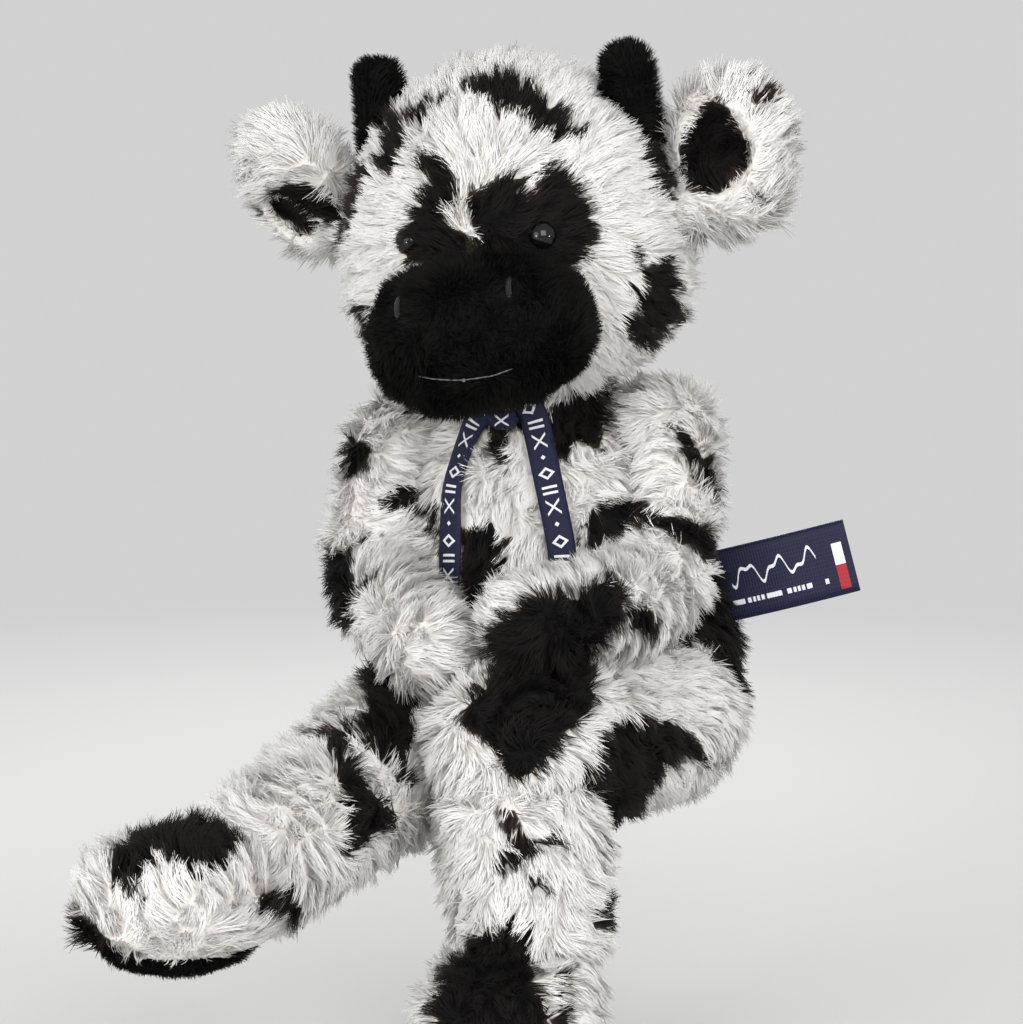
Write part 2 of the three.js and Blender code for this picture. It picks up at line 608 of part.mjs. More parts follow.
// Tail: hangs from a ball at the back of the torso and ends in a tuft. Each row is a place back and down.
const tailPathShares = [[0, 0], [0.3, 0.1], [0.4, 0.45], [0.36, 0.8]];
const tuftShare = 0.3;
const tailRoot = onTorso(torso.height * tailShares.height, Math.PI / 2, -tail.sink);
const tailPoints = tailPathShares.map(([back, down]) => (
  tailRoot.clone().add(vector(0, tail.length * back, -tail.length * down))));
const tailRadii = tailPoints.map(() => tail.radius);
const tuftSizes = vector(tail.tuftRadius, tail.tuftRadius, tail.tuftLength / 2);
const tuftCentre = tailPoints.at(-1).clone().addScaledVector(up, -tail.tuftLength * tuftShare);
const tuftForm = (sizes) => centred(roundForm(sizes, sideCounts.tail, ringCounts.tail), tuftCentre);
const tailSolid = softTube(tailPoints, tailRadii, sideCounts.tail, ringCounts.tail)
  .add(ball(tailRoot, tail.ballRadius, sideCounts.limb))
  .subtract(tuftForm(tuftSizes.clone().addScalar(gap)));
const tailRoom = ball(tailRoot, clearOf(tail.ballRadius, sideCounts.limb), sideCounts.limb);
torsoSolid = torsoSolid.subtract(tailRoom);
cow.add(toMesh('tail', tailSolid.subtract(torsoGrown.subtract(tailRoom)), whiteFur));
cow.add(toMesh('tail_tuft', tuftForm(tuftSizes), blackFur));

// Ribbon: a band round the neck, a knot in front and two ends that leave beside it and lie on the chest.
const ribbonInner = gap + ribbon.lift;
const ribbonOuter = ribbonInner + ribbon.thickness;
const collarTop = torso.height - ribbon.drop;
const collarBottom = collarTop - ribbon.width;

function collarForm(grow) {
  const [low, high] = [collarBottom - grow, collarTop + grow];
  const [inner, outer] = [ribbonInner - grow, ribbonOuter + grow];
  const corners = [[low, inner], [low, outer], [high, outer], [high, inner]];
  const points = [];
  const index = [];
  for (let side = 0; side < sideCounts.torso; side += 1) {
    const angle = (2 * Math.PI * side) / sideCounts.torso;
    const next = (side + 1) % sideCounts.torso;
    corners.forEach(([z, outwards], corner) => {
      const above = (corner + 1) % corners.length;
      points.push(onTorso(z, angle, outwards));
      index.push(side * corners.length + corner, next * corners.length + corner, next * corners.length + above);
      index.push(side * corners.length + corner, next * corners.length + above, side * corners.length + above);
    });
  }
  const geometry = new THREE.BufferGeometry().setFromPoints(points);
  geometry.setIndex(index);
  return toSolid(geometry);
}

const collar = collarForm(0).subtract(shoulderRoom('left')).subtract(shoulderRoom('right'));
cow.add(toMesh('ribbon_collar', collar, navyWeave));

const knotSizes = vector(ribbon.knotWidth / 2, ribbon.knotDepth / 2, ribbon.knotHeight / 2);
const knotHeight = (collarTop + collarBottom) / 2;
const knotOut = ribbonOuter + gap + ribbon.knotDepth / 2;
const knotCentre = onChest(torsoAt(knotHeight).x + ribbon.knotAside, knotHeight, knotOut);
const knot = roundForm(knotSizes, sideCounts.trim, ringCounts.trim, squareness.knot);
cow.add(toMesh('ribbon_knot', centred(knot, knotCentre).subtract(collarForm(gap)), navyWeave));

function ribbonEnd(side) {
  const { drift, length } = ribbonEnds[side];
  const steps = sideCounts.trim;
  const start = knotCentre.x + sides[side] * ((ribbon.knotWidth + ribbon.width) / 2 + gap);
  const low = ribbonOuter + gap;
  const loops = [];
  for (let step = 0; step <= steps; step += 1) {
    const share = step / steps;
    const z = collarTop - gap - length * share;
    const x = start + drift * Math.sin((Math.PI / 2) * share);
    const edges = [x - ribbon.width / 2, x, x + ribbon.width / 2];
    const outer = edges.map((edge) => onChest(edge, z, low + ribbon.thickness));
    const inner = edges.map((edge) => onChest(edge, z, low)).reverse();
    loops.push([...outer, ...inner]);
  }
  const middle = (loop) => loop.reduce((sum, point) => sum.add(point), vector(0, 0, 0)).divideScalar(loop.length);
  return toSolid(skin(loops.reverse(), middle(loops[0]), middle(loops.at(-1))));
}

for (const side of ['left', 'right']) {
  cow.add(toMesh(`ribbon_end_${side}`, ribbonEnd(side).subtract(collarForm(gap)), navyWeave));
}

// Label: a woven strip folded double, with both ends sewn into the side seam.
function labelOutline() {
  const steps = 8;
  const half = label.fold / 2;
  const straight = label.length - half;
  const edge = (offset) => Array.from({ length: steps + 1 }, (_, step) => (
    [(straight * step) / steps, label.bow * Math.sin((Math.PI * step) / steps) + offset]));
  const bend = (radius) => Array.from({ length: 5 }, (_, step) => {
    const angle = Math.PI / 2 - (Math.PI * (step + 1)) / 6;
    return [straight + radius * Math.cos(angle), radius * Math.sin(angle)];
  });
  return flatPoints([
    ...edge(half), ...bend(half), ...edge(-half).reverse(),
    ...edge(label.layer - half), ...bend(half - label.layer).reverse(), ...edge(half - label.layer).reverse(),
  ]);
}

const labelStrip = new THREE.ExtrudeGeometry(new THREE.Shape(labelOutline()), {
  depth: label.width, bevelEnabled: false,
});
const labelFrame = new THREE.Matrix4()
  .makeTranslation(...onTorso(torso.height * labelShares.height, 0, -label.hidden))
  .multiply(new THREE.Matrix4().makeRotationZ(degToRad(labelPose.yaw)))
  .multiply(new THREE.Matrix4().makeRotationY(degToRad(-labelPose.rise)));
const labelSolid = moved(toSolid(labelStrip.translate(0, 0, -label.width / 2)), labelFrame);
cow.add(toMesh('side_label', labelSolid.subtract(torsoGrown), navyWeave));

cow.add(toMesh('torso', torsoSolid, whiteFur));

export default cow;
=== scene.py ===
import json
import math
import bpy
import bmesh
import numpy as np
from mathutils import Matrix, Vector, noise
from mathutils.bvhtree import BVHTree

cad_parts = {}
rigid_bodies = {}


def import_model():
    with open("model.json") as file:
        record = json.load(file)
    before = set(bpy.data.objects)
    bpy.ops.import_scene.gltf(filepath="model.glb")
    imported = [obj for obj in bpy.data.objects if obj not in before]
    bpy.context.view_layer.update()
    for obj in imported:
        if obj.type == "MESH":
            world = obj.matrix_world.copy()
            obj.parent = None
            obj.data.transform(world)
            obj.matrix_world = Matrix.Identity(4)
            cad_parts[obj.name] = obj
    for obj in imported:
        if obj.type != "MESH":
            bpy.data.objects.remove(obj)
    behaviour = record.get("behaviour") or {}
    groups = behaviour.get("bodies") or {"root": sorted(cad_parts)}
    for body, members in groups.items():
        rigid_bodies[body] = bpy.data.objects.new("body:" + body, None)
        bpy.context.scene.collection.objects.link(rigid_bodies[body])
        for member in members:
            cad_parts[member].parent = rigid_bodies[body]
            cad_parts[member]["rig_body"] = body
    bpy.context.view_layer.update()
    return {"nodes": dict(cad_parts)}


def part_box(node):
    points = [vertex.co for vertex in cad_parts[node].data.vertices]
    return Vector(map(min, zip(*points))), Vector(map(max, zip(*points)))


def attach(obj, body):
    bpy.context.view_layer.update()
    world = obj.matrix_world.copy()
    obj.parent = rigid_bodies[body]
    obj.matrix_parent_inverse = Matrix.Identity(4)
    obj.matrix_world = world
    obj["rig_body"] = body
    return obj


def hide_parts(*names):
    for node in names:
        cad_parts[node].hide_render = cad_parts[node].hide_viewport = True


# A limp plush cow: fur tufts on stuffed forms, short plush, glossy eyes, a woven ribbon and a woven side label.
# Lengths in the dictionaries are in millimetres, and spots are outlined in the photograph's pixels.
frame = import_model()
mm = 0.001
nodes = frame["nodes"]
bodyOf = {name: nodes[name]["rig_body"] for name in nodes}

# Camera: the photograph's view
photoView = {"azimuth": 12, "elevation": 8, "distance": 1200, "pixelsPerMm": 2.7, "aim": (-23.8, 8.8, 96.4),
             "width": 1023, "height": 1024}


def viewAxes():
    turn, rise = math.radians(photoView["azimuth"]), math.radians(photoView["elevation"])
    forward = Vector((-math.sin(turn) * math.cos(rise), math.cos(turn) * math.cos(rise), -math.sin(rise)))
    right = Vector((math.cos(turn), math.sin(turn), 0))
    return forward, right, right.cross(forward)


forward, right, upward = viewAxes()
eyePoint = Vector(photoView["aim"]) * mm - forward * photoView["distance"] * mm
pixelFocus = photoView["distance"] * photoView["pixelsPerMm"]


def makeCamera():
    data = bpy.data.cameras.new("photoCamera")
    data.lens = pixelFocus / photoView["height"] * data.sensor_width
    data.clip_start, data.clip_end = 0.05, 50
    camera = bpy.data.objects.new("photoCamera", data)
    camera.location = eyePoint
    camera.rotation_euler = forward.to_track_quat("-Z", "Y").to_euler()
    bpy.context.scene.collection.objects.link(camera)
    bpy.context.scene.camera = camera


def toPixels(points):
    away = points - np.array(eyePoint)
    depth = away @ np.array(forward)
    across = photoView["height"] / 2 + pixelFocus * (away @ np.array(right)) / depth
    down = photoView["height"] / 2 - pixelFocus * (away @ np.array(upward)) / depth
    return across, down


def pixelRay(across, down):
    half = photoView["height"] / 2
    return (forward + right * (across - half) / pixelFocus + upward * (half - down) / pixelFocus).normalized()


# Mesh helpers
def newPiece(name, mesh):
    piece = bpy.data.objects.new(name, mesh)
    bpy.context.scene.collection.objects.link(piece)
    return piece


def meshArrays(mesh):
    points = np.empty(len(mesh.vertices) * 3)
    mesh.vertices.foreach_get("co", points)
    normals = np.empty(len(mesh.vertices) * 3)
    mesh.vertices.foreach_get("normal", normals)
    return points.reshape(-1, 3), normals.reshape(-1, 3)


def storeFloats(mesh, name, values):
    attribute = mesh.attributes.get(name) or mesh.attributes.new(name, "FLOAT", "POINT")
    attribute.data.foreach_set("value", np.asarray(values, np.float32))


def storeVectors(mesh, name, values):
    attribute = mesh.attributes.get(name) or mesh.attributes.new(name, "FLOAT_VECTOR", "POINT")
    attribute.data.foreach_set("vector", np.asarray(values, np.float32).ravel())


def flattened(piece):
    graph = bpy.context.evaluated_depsgraph_get()
    mesh = bpy.data.meshes.new_from_object(piece.evaluated_get(graph), preserve_all_data_layers=True, depsgraph=graph)
    piece.modifiers.clear()
    piece.data = mesh
    return piece


def cadTree(*names):
    points, faces = [], []
    for name in names:
        mesh = nodes[name].data
        start = len(points)
        points += [vertex.co.copy() for vertex in mesh.vertices]
        faces += [[start + corner for corner in polygon.vertices] for polygon in mesh.polygons]
    return BVHTree.FromPolygons(points, faces)


# Counts the walls that a ray from the point goes through.
def isInside(point, tree):
    way, walls = Vector((0.137, 0.241, 0.961)), 0
    while walls < 20:
        place = tree.ray_cast(point, way)[0]
        if place is None:
            break
        walls += 1
        point = place + way * 1e-6
    return walls % 2 == 1


def depthsOutside(points, trees):
    depths = np.full(len(points), 9.0)
    for tree in trees:
        for index, point in enumerate(points):
            distance = tree.find_nearest(Vector(point))[3]
            if distance < 15 * mm and isInside(Vector(point), tree):
                distance = -distance
            depths[index] = min(depths[index], distance)
    return depths


# The CAD solids of a stuffed piece, joined into one even skin.
def softForm(name, sources, voxel=2.6, smoothing=10):
    form = bmesh.new()
    for source in sources:
        form.from_mesh(nodes[source].data)
    bmesh.ops.remove_doubles(form, verts=form.verts, dist=0.01 * mm)
    mesh = bpy.data.meshes.new(name)
    form.to_mesh(mesh)
    form.free()
    piece = newPiece(name, mesh)
    remesh = piece.modifiers.new("remesh", "REMESH")
    remesh.mode, remesh.voxel_size, remesh.use_smooth_shade = "VOXEL", voxel * mm, True
    smooth = piece.modifiers.new("smooth", "SMOOTH")
    smooth.factor, smooth.iterations = 0.5, smoothing
    return flattened(piece)


# Spots, outlined in the photograph's pixels. Each key is a piece, and a back spot is a place and a radius.
spots = {
    "head": {
        "crown": [(463, 76), (480, 72), (497, 68), (533, 77), (545, 96), (568, 107), (572, 120), (593, 128), (578, 143),
                  (562, 138), (543, 128), (533, 131), (526, 113), (507, 112), (480, 98), (463, 88)],
        "browChain": [(405, 112), (427, 97), (452, 86), (456, 93), (432, 106), (426, 121), (408, 121)],
        "templeChain": [(383, 112), (403, 114), (408, 138), (396, 157), (398, 178), (380, 178), (371, 163), (380, 140)],
        "templeStrip": [(358, 162), (366, 160), (364, 184), (354, 207), (347, 240), (338, 256), (343, 213), (350, 187)],
        "rightEye": [(411, 160), (427, 153), (445, 157), (449, 178), (457, 184), (453, 198), (445, 210), (447, 223),
                     (468, 234), (472, 264), (400, 264), (397, 240), (402, 225), (411, 203), (428, 185), (419, 172)],
        "betweenEyes": [(466, 200), (473, 188), (488, 183), (503, 174), (523, 173), (526, 188), (536, 195), (536, 168),
                        (545, 159), (563, 163), (582, 182), (589, 203), (600, 217), (598, 240), (593, 255), (580, 270),
                        (517, 276), (470, 266), (475, 233), (470, 214)],
        "cheek": [(647, 262), (673, 252), (678, 273), (683, 297), (684, 317), (674, 331), (663, 334), (657, 353),
                  (640, 349), (628, 342), (619, 326), (640, 307), (636, 297), (624, 288), (647, 286)],
        "cheekTip": [(630, 251), (640, 235), (645, 257), (643, 274), (633, 264)],
        "jaw": [(352, 302), (361, 300), (374, 333), (374, 348), (362, 334), (354, 318)],
        "underHorn": [(612, 92), (660, 92), (670, 150), (678, 198), (664, 200), (652, 172), (641, 132), (624, 112)],
    },
    "torso": {
        "chest": [(461, 529), (480, 523), (498, 528), (506, 545), (500, 575), (492, 600), (486, 640), (474, 640),
                  (462, 600), (459, 560)],
        "neckSide": [(545, 414), (556, 402), (580, 392), (607, 388), (614, 415), (609, 436), (600, 451), (577, 446),
                     (563, 461), (553, 456), (548, 430)],
        "neckDot": [(488, 426), (498, 398), (517, 400), (530, 420), (527, 442), (511, 430), (506, 445), (514, 468),
                    (497, 466), (486, 452)],
        "collarSide": [(610, 392), (640, 398), (668, 392), (657, 411), (630, 411), (613, 406)],
        "flank": [(690, 552), (745, 548), (765, 590), (757, 660), (750, 704), (722, 702), (714, 668), (700, 640),
                  (690, 660), (672, 655), (680, 600)],
        "forearmTop": [(580, 540), (590, 517), (610, 504), (632, 500), (655, 507), (660, 528), (645, 531), (625, 533),
                       (605, 545), (592, 548)],
        "armpit": [(372, 508), (388, 492), (437, 508), (440, 560), (430, 540), (420, 512)],
    },
    "arm_right": {
        "shoulderStripe": [(383, 404), (402, 402), (430, 411), (438, 419), (415, 416), (395, 412)],
        "shoulderPatch": [(340, 442), (360, 435), (373, 452), (360, 470), (345, 480), (336, 462)],
        "elbowArc": [(370, 509), (387, 492), (405, 483), (426, 495), (440, 512), (443, 545), (434, 560), (428, 535),
                     (418, 513), (400, 509), (385, 510)],
        "outerPatch": [(312, 562), (330, 549), (353, 547), (353, 600), (346, 645), (332, 645), (318, 612), (310, 585)],
        "fleck": [(361, 540), (372, 531), (376, 538), (366, 546)],
        "wristFleck": [(352, 597), (360, 577), (380, 569), (380, 579), (366, 590)],
    },
    "arm_left": {
        "shoulderEdge": [(673, 417), (687, 428), (702, 447), (716, 465), (728, 503), (712, 491), (697, 470),
                         (683, 450), (675, 435)],
        "forearmTop": [(587, 536), (592, 519), (610, 506), (632, 500), (655, 507), (680, 516), (703, 520), (716, 532),
                       (722, 565), (706, 561), (695, 546), (677, 541), (665, 531), (645, 529), (625, 531), (605, 543)],
        "hand": [(522, 595), (545, 590), (580, 588), (600, 578), (616, 571), (626, 585), (633, 600), (626, 625),
                 (611, 640), (598, 655), (592, 672), (560, 680), (520, 680), (486, 662), (480, 640), (488, 622),
                 (505, 614)],
        "elbow": [(640, 600), (655, 607), (663, 625), (661, 647), (645, 641), (631, 633), (628, 615)],
    },
    "thigh_left": {
        "knee": [(453, 713), (465, 700), (480, 680), (492, 663), (510, 655), (540, 655), (594, 655), (603, 690),
                 (592, 715), (576, 735), (560, 750), (553, 766), (530, 781), (511, 783), (504, 765), (490, 745),
                 (470, 733)],
        "hip": [(597, 746), (605, 730), (625, 720), (655, 717), (681, 722), (697, 735), (715, 760), (701, 767),
                (685, 757), (672, 771), (660, 786), (649, 800), (644, 816), (661, 815), (657, 842), (641, 851),
                (632, 872), (617, 866), (611, 840), (604, 816), (591, 811), (584, 795), (590, 775), (602, 765)],
        "crease": [(492, 811), (511, 814), (521, 825), (536, 840), (552, 837), (572, 834), (560, 851), (545, 851),
                   (530, 856), (520, 866), (505, 871), (487, 876), (495, 860), (515, 848), (504, 830)],
        "creaseEnd": [(558, 836), (568, 815), (579, 804), (573, 830), (565, 846)],
    },
    "shin_left": {
        "crease": [(492, 811), (511, 814), (521, 825), (536, 840), (552, 837), (572, 834), (560, 851), (545, 851),
                   (530, 856), (520, 866), (505, 871), (487, 876), (495, 860), (515, 848), (504, 830)],
        "dot": [(531, 886), (545, 877), (549, 890), (543, 901), (535, 896)],
        "edge": [(601, 906), (612, 889), (627, 888), (630, 905), (618, 926), (605, 931), (599, 915)],
        "shinSide": [(617, 866), (611, 840), (632, 872)],
        "instep": [(437, 976), (445, 958), (462, 954), (470, 940), (490, 930), (505, 921), (520, 924), (531, 935),
                   (536, 960), (541, 985), (549, 1000), (556, 1024), (418, 1024), (424, 1010), (434, 990)],
    },
    "foot_left": {
        "instep": [(437, 976), (445, 958), (462, 954), (470, 940), (490, 930), (505, 921), (520, 924), (531, 935),
                   (536, 960), (541, 985), (549, 1000), (560, 1060), (440, 1060), (424, 1010), (434, 990)],
        "ankleSide": [(559, 986), (568, 970), (575, 959), (581, 975), (571, 1000), (577, 1030), (560, 1030)],
    },
    "thigh_right": {
        "top": [(357, 668), (375, 655), (395, 644), (413, 652), (430, 665), (434, 690), (421, 700), (415, 715),
                (419, 735), (413, 750), (413, 770), (419, 780), (413, 794), (402, 776), (391, 760), (375, 750),
                (359, 735), (354, 725), (362, 710), (362, 690), (358, 680)],
        "band": [(320, 725), (340, 719), (356, 728), (353, 750), (363, 765), (373, 785), (386, 800), (400, 812),
                 (403, 826), (385, 836), (370, 846), (355, 860), (344, 856), (349, 830), (347, 800), (339, 775),
                 (329, 755)],
        "dash": [(298, 731), (318, 721), (324, 728), (305, 737)],
    },
    "shin_right": {
        "band": [(320, 725), (340, 719), (356, 728), (353, 750), (363, 765), (373, 785), (386, 800), (400, 812),
                 (403, 826), (385, 836), (370, 846), (355, 860), (344, 856), (349, 830), (347, 800), (339, 775),
                 (329, 755)],
        "dash": [(298, 731), (318, 721), (324, 728), (305, 737)],
        "heel": [(262, 893), (275, 891), (290, 892), (306, 895), (307, 915), (302, 937), (290, 926), (275, 920),
                 (262, 911)],
    },
    "foot_right": {
        "soleEdge": [(60, 905), (84, 918), (98, 936), (112, 948), (140, 960), (172, 971), (222, 971), (254, 958), (294, 945),
                     (302, 962), (250, 1000), (100, 1000), (60, 950)],
        "toes": [(127, 840), (134, 820), (150, 807), (175, 802), (205, 799), (226, 802), (241, 820), (247, 840),
                 (236, 858), (216, 869), (190, 871), (170, 861), (160, 850), (150, 862), (135, 872), (128, 885),
                 (141, 891), (139, 903), (120, 899), (107, 886), (104, 870), (107, 855)],
        "heel": [(262, 893), (275, 891), (290, 892), (306, 895), (307, 915), (302, 937), (290, 926), (275, 920),
                 (262, 911)],
    },
    "ear_left": {
        "tip": [(757, 84), (777, 80), (780, 94), (762, 96)],
        "lobe": [(752, 203), (766, 196), (768, 206), (756, 211)],
        "inside": [(716, 92), (727, 107), (736, 127), (750, 140), (750, 160), (738, 172), (722, 190), (706, 195), (688, 191),
                   (679, 170), (678, 150), (686, 128), (697, 116), (707, 103)],
    },
    "ear_lining_left": {
        "inside": [(716, 92), (727, 107), (736, 127), (750, 140), (750, 160), (738, 172), (722, 190), (706, 195), (688, 191),
                   (679, 170), (678, 150), (686, 128), (697, 116), (707, 103)],
    },
    "ear_lining_right": {
        "upper": [(262, 190), (300, 184), (326, 192), (345, 215), (338, 232), (300, 232), (268, 212)],
    },
    "ear_right": {
        "upper": [(266, 187), (300, 184), (326, 192), (345, 215), (330, 228), (296, 214), (268, 204)],
        "rim": [(230, 186), (242, 192), (258, 212), (248, 216), (234, 202)],
    },
    "tail": {},
}
backSpots = {
    "head": [((-50, 48, 215), 14), ((-60, 40, 203), 12), ((0, 55, 236), 15), ((12, 56, 226), 12), ((-22, 60, 178), 10),
             ((-10, 60, 168), 12), ((32, 30, 190), 13), ((37, 24, 176), 10), ((-70, 20, 185), 11), ((36, 2, 222), 8),
             ((-34, 30, 246), 13), ((-44, 22, 240), 10), ((14, 48, 186), 9)],
    "torso": [((-30, 50, 100), 15), ((-40, 44, 88), 13), ((24, 50, 62), 17), ((34, 42, 74), 12), ((-40, 44, 40), 14),
              ((-50, 34, 50), 10), ((8, 48, 118), 9), ((-64, 4, 60), 12), ((-60, 12, 72), 10), ((10, 50, 22), 12)],
    "arm_right": [((-80, -8, 84), 11), ((-84, -14, 74), 9)],
    "arm_left": [((50, 8, 104), 11), ((56, 2, 94), 9)],
    "thigh_left": [((58, -40, 12), 13), ((20, -60, 0), 12), ((30, -66, -6), 10)],
    "thigh_right": [((-70, -60, 8), 12), ((-72, -72, 4), 10), ((-40, -30, 2), 12)],
    "shin_left": [((0, -78, -20), 11), ((2, -76, -32), 9)],
    "shin_right": [((-78, -150, -8), 12)],
    "foot_left": [((10, -92, -52), 11), ((16, -98, -60), 8)],
    "foot_right": [((-80, -190, -6), 11)],
    "ear_left": [((66, 6, 232), 11), ((60, 8, 222), 8)],
    "ear_right": [((-104, 12, 214), 10), ((-98, 14, 204), 8)],
    "tail": [((-2, 62, 50), 7)],
}
spotWarp = ((24, 9), (9, 3.5))


def insideBy(across, down, outline):
    corners = np.array(outline, float)
    nearest = np.full(len(across), np.inf)
    inside = np.zeros(len(across), bool)
    for start, end in zip(corners, np.roll(corners, -1, axis=0)):
        edge = end - start
        share = np.clip(((across - start[0]) * edge[0] + (down - start[1]) * edge[1]) / (edge @ edge), 0, 1)
        nearest = np.minimum(nearest, np.hypot(across - start[0] - share * edge[0], down - start[1] - share * edge[1]))
        if start[1] != end[1]:
            cross = start[0] + edge[0] * (down - start[1]) / edge[1]
            inside ^= ((start[1] > down) != (end[1] > down)) & (across < cross)
    return np.where(inside, nearest, -nearest)


# Above 0 the fur is black and below 0 it is white, in units of 2 mm from the edge.
def spotTone(name, points, normals, flow, pile):
    middles = points + normals * (0.45 * pile)[:, None] + flow * (0.35 * pile)[:, None]
    across, down = toPixels(middles)
    shown = (normals @ -np.array(forward)) > -0.12
    front = np.full(len(points), -9.0)
    for outline in spots.get(name, {}).values():
        front = np.maximum(front, insideBy(across, down, outline) / photoView["pixelsPerMm"] / 2)
    back = np.full(len(points), -9.0)
    warped = points / mm
    if name in backSpots:
        for size, reach in spotWarp:
            warped = warped + reach * np.array([tuple(noise.noise_vector(Vector(point / mm / size))) for point in points])
    for place, radius in backSpots.get(name, []):
        onSkin = np.linalg.norm(points / mm - np.array(place), axis=1).argmin()
        distance = np.linalg.norm(warped - warped[onSkin], axis=1)
        back = np.maximum(back, (radius - distance) / 2)
    return np.clip(np.where(shown, front, back), -4, 4)


# Shader helpers
def shaderNode(tree, kind, at=(0, 0), **values):
    node = tree.nodes.new(kind)
    node.location = at
    for key, value in values.items():
        setattr(node, key, value)
    return node


def setInputs(node, **values):
    for key, value in values.items():
        node.inputs[key].default_value = value
    return node


def mathNode(tree, operation, first, second=None, clamp=False):
    node = shaderNode(tree, "ShaderNodeMath", operation=operation, use_clamp=clamp)
    for socket, value in zip(node.inputs, (first, second)):
        if value is None:
            continue
        if isinstance(value, (int, float)):
            socket.default_value = value
        else:
            tree.links.new(value, socket)
    return node.outputs[0]


def rangeNode(tree, value, low, high, toLow=0.0, toHigh=1.0, smooth=False):
    node = shaderNode(tree, "ShaderNodeMapRange", interpolation_type="SMOOTHSTEP" if smooth else "LINEAR")
    tree.links.new(value, node.inputs["Value"])
    for key, number in (("From Min", low), ("From Max", high), ("To Min", toLow), ("To Max", toHigh)):
        if isinstance(number, (int, float)):
            node.inputs[key].default_value = number
        else:
            tree.links.new(number, node.inputs[key])
    return node.outputs["Result"]


def mixColors(tree, factor, first, second, blend="MIX"):
    node = shaderNode(tree, "ShaderNodeMix", data_type="RGBA", blend_type=blend)
    for socket, value in ((node.inputs[0], factor), (node.inputs[6], first), (node.inputs[7], second)):
        if isinstance(value, (int, float, tuple)):
            socket.default_value = value if isinstance(value, (int, float)) else (*value, 1)
        else:
            tree.links.new(value, socket)
    return node.outputs[2]


def newMaterial(name, roughness, sheen=0.0, sheenRoughness=0.5, coat=0.0, specular=0.5):
    material = bpy.data.materials.new(name)
    material.use_nodes = True
    shader = material.node_tree.nodes["Principled BSDF"]
    setInputs(shader, Roughness=roughness)
    shader.inputs["Sheen Weight"].default_value = sheen
    shader.inputs["Sheen Roughness"].default_value = sheenRoughness
    shader.inputs["Coat Weight"].default_value = coat
    shader.inputs["Specular IOR Level"].default_value = specular
    return material, material.node_tree, shader


# Paints shade into a pile: darker at the root, where the locks shade each other, lighter at the tip, and uneven from
# lock to lock.
def furVariation():
    group = bpy.data.node_groups.new("furVariation", "ShaderNodeTree")
    for name, kind in (("Color", "NodeSocketColor"), ("Painted Root Shade", "NodeSocketFloat"), ("Patchiness", "NodeSocketFloat")):
        group.interface.new_socket(name=name, in_out="INPUT", socket_type=kind)
    group.interface.new_socket(name="Color", in_out="OUTPUT", socket_type="NodeSocketColor")
    source, sink = shaderNode(group, "NodeGroupInput", (-900, 0)), shaderNode(group, "NodeGroupOutput", (500, 0))
    along = shaderNode(group, "ShaderNodeAttribute", (-700, -200), attribute_name="along")
    place = shaderNode(group, "ShaderNodeTexCoord", (-900, -400))
    patches = setInputs(shaderNode(group, "ShaderNodeTexNoise", (-700, -400)), Scale=70, Detail=3)
    group.links.new(place.outputs["Object"], patches.inputs["Vector"])
    # Painted shade: the colour darkens toward the root, where the strands shade each other.
    depth = rangeNode(group, along.outputs["Fac"], 0.0, 0.8, source.outputs["Painted Root Shade"], 1.0)
    low = mathNode(group, "SUBTRACT", 1.0, source.outputs["Patchiness"])
    uneven = rangeNode(group, patches.outputs["Fac"], 0.35, 0.65, low, 1.0)
    shade = mathNode(group, "MULTIPLY", depth, uneven)
    gray = shaderNode(group, "ShaderNodeCombineColor")
    for socket in gray.inputs[:3]:
        group.links.new(shade, socket)
    group.links.new(mixColors(group, 1.0, source.outputs["Color"], gray.outputs[0], "MULTIPLY"), sink.inputs["Color"])
    return group


furVariationGroup = furVariation()


# Lights a blade as the skin that it grows from, turned only so far that the seen side faces that way too.
def furNormal(tree, least):
    skin = shaderNode(tree, "ShaderNodeAttribute", attribute_name="outwards")
    turned = shaderNode(tree, "ShaderNodeVectorTransform", vector_type="NORMAL", convert_from="OBJECT", convert_to="WORLD")
    tree.links.new(skin.outputs["Vector"], turned.inputs[0])
    own = shaderNode(tree, "ShaderNodeNewGeometry").outputs["Normal"]
    facing = shaderNode(tree, "ShaderNodeVectorMath", operation="DOT_PRODUCT")
    tree.links.new(turned.outputs[0], facing.inputs[0])
    tree.links.new(own, facing.inputs[1])
    lack = mathNode(tree, "MAXIMUM", mathNode(tree, "SUBTRACT", least, facing.outputs["Value"]), 0.0)
    part = shaderNode(tree, "ShaderNodeVectorMath", operation="SCALE")
    tree.links.new(own, part.inputs[0])
    tree.links.new(lack, part.inputs["Scale"])
    whole = shaderNode(tree, "ShaderNodeVectorMath", operation="ADD")
    tree.links.new(turned.outputs[0], whole.inputs[0])
    tree.links.new(part.outputs[0], whole.inputs[1])
    even = shaderNode(tree, "ShaderNodeVectorMath", operation="NORMALIZE")
    tree.links.new(whole.outputs[0], even.inputs[0])
    return even.outputs[0]


# The root shade given here is painted shade at the foot of each lock.
def variedFur(tree, color, paintedRootShade, patchiness):
    node = shaderNode(tree, "ShaderNodeGroup", node_tree=furVariationGroup)
    setInputs(node, **{"Painted Root Shade": paintedRootShade, "Patchiness": patchiness})
    if isinstance(color, tuple):
        node.inputs["Color"].default_value = (*color, 1)
    else:
        tree.links.new(color, node.inputs["Color"])
    return node.outputs["Color"]


# The warm colour is both a random warm tint and the painted shade deep in the pile at the roots.
spottedFur = {"white": (0.91, 0.90, 0.882), "warmTintAndRootShade": (0.88, 0.84, 0.79), "black": (0.005, 0.0045, 0.0045),
              "blackTip": (0.014, 0.011, 0.010), "brownEdge": (0.045, 0.030, 0.022)}


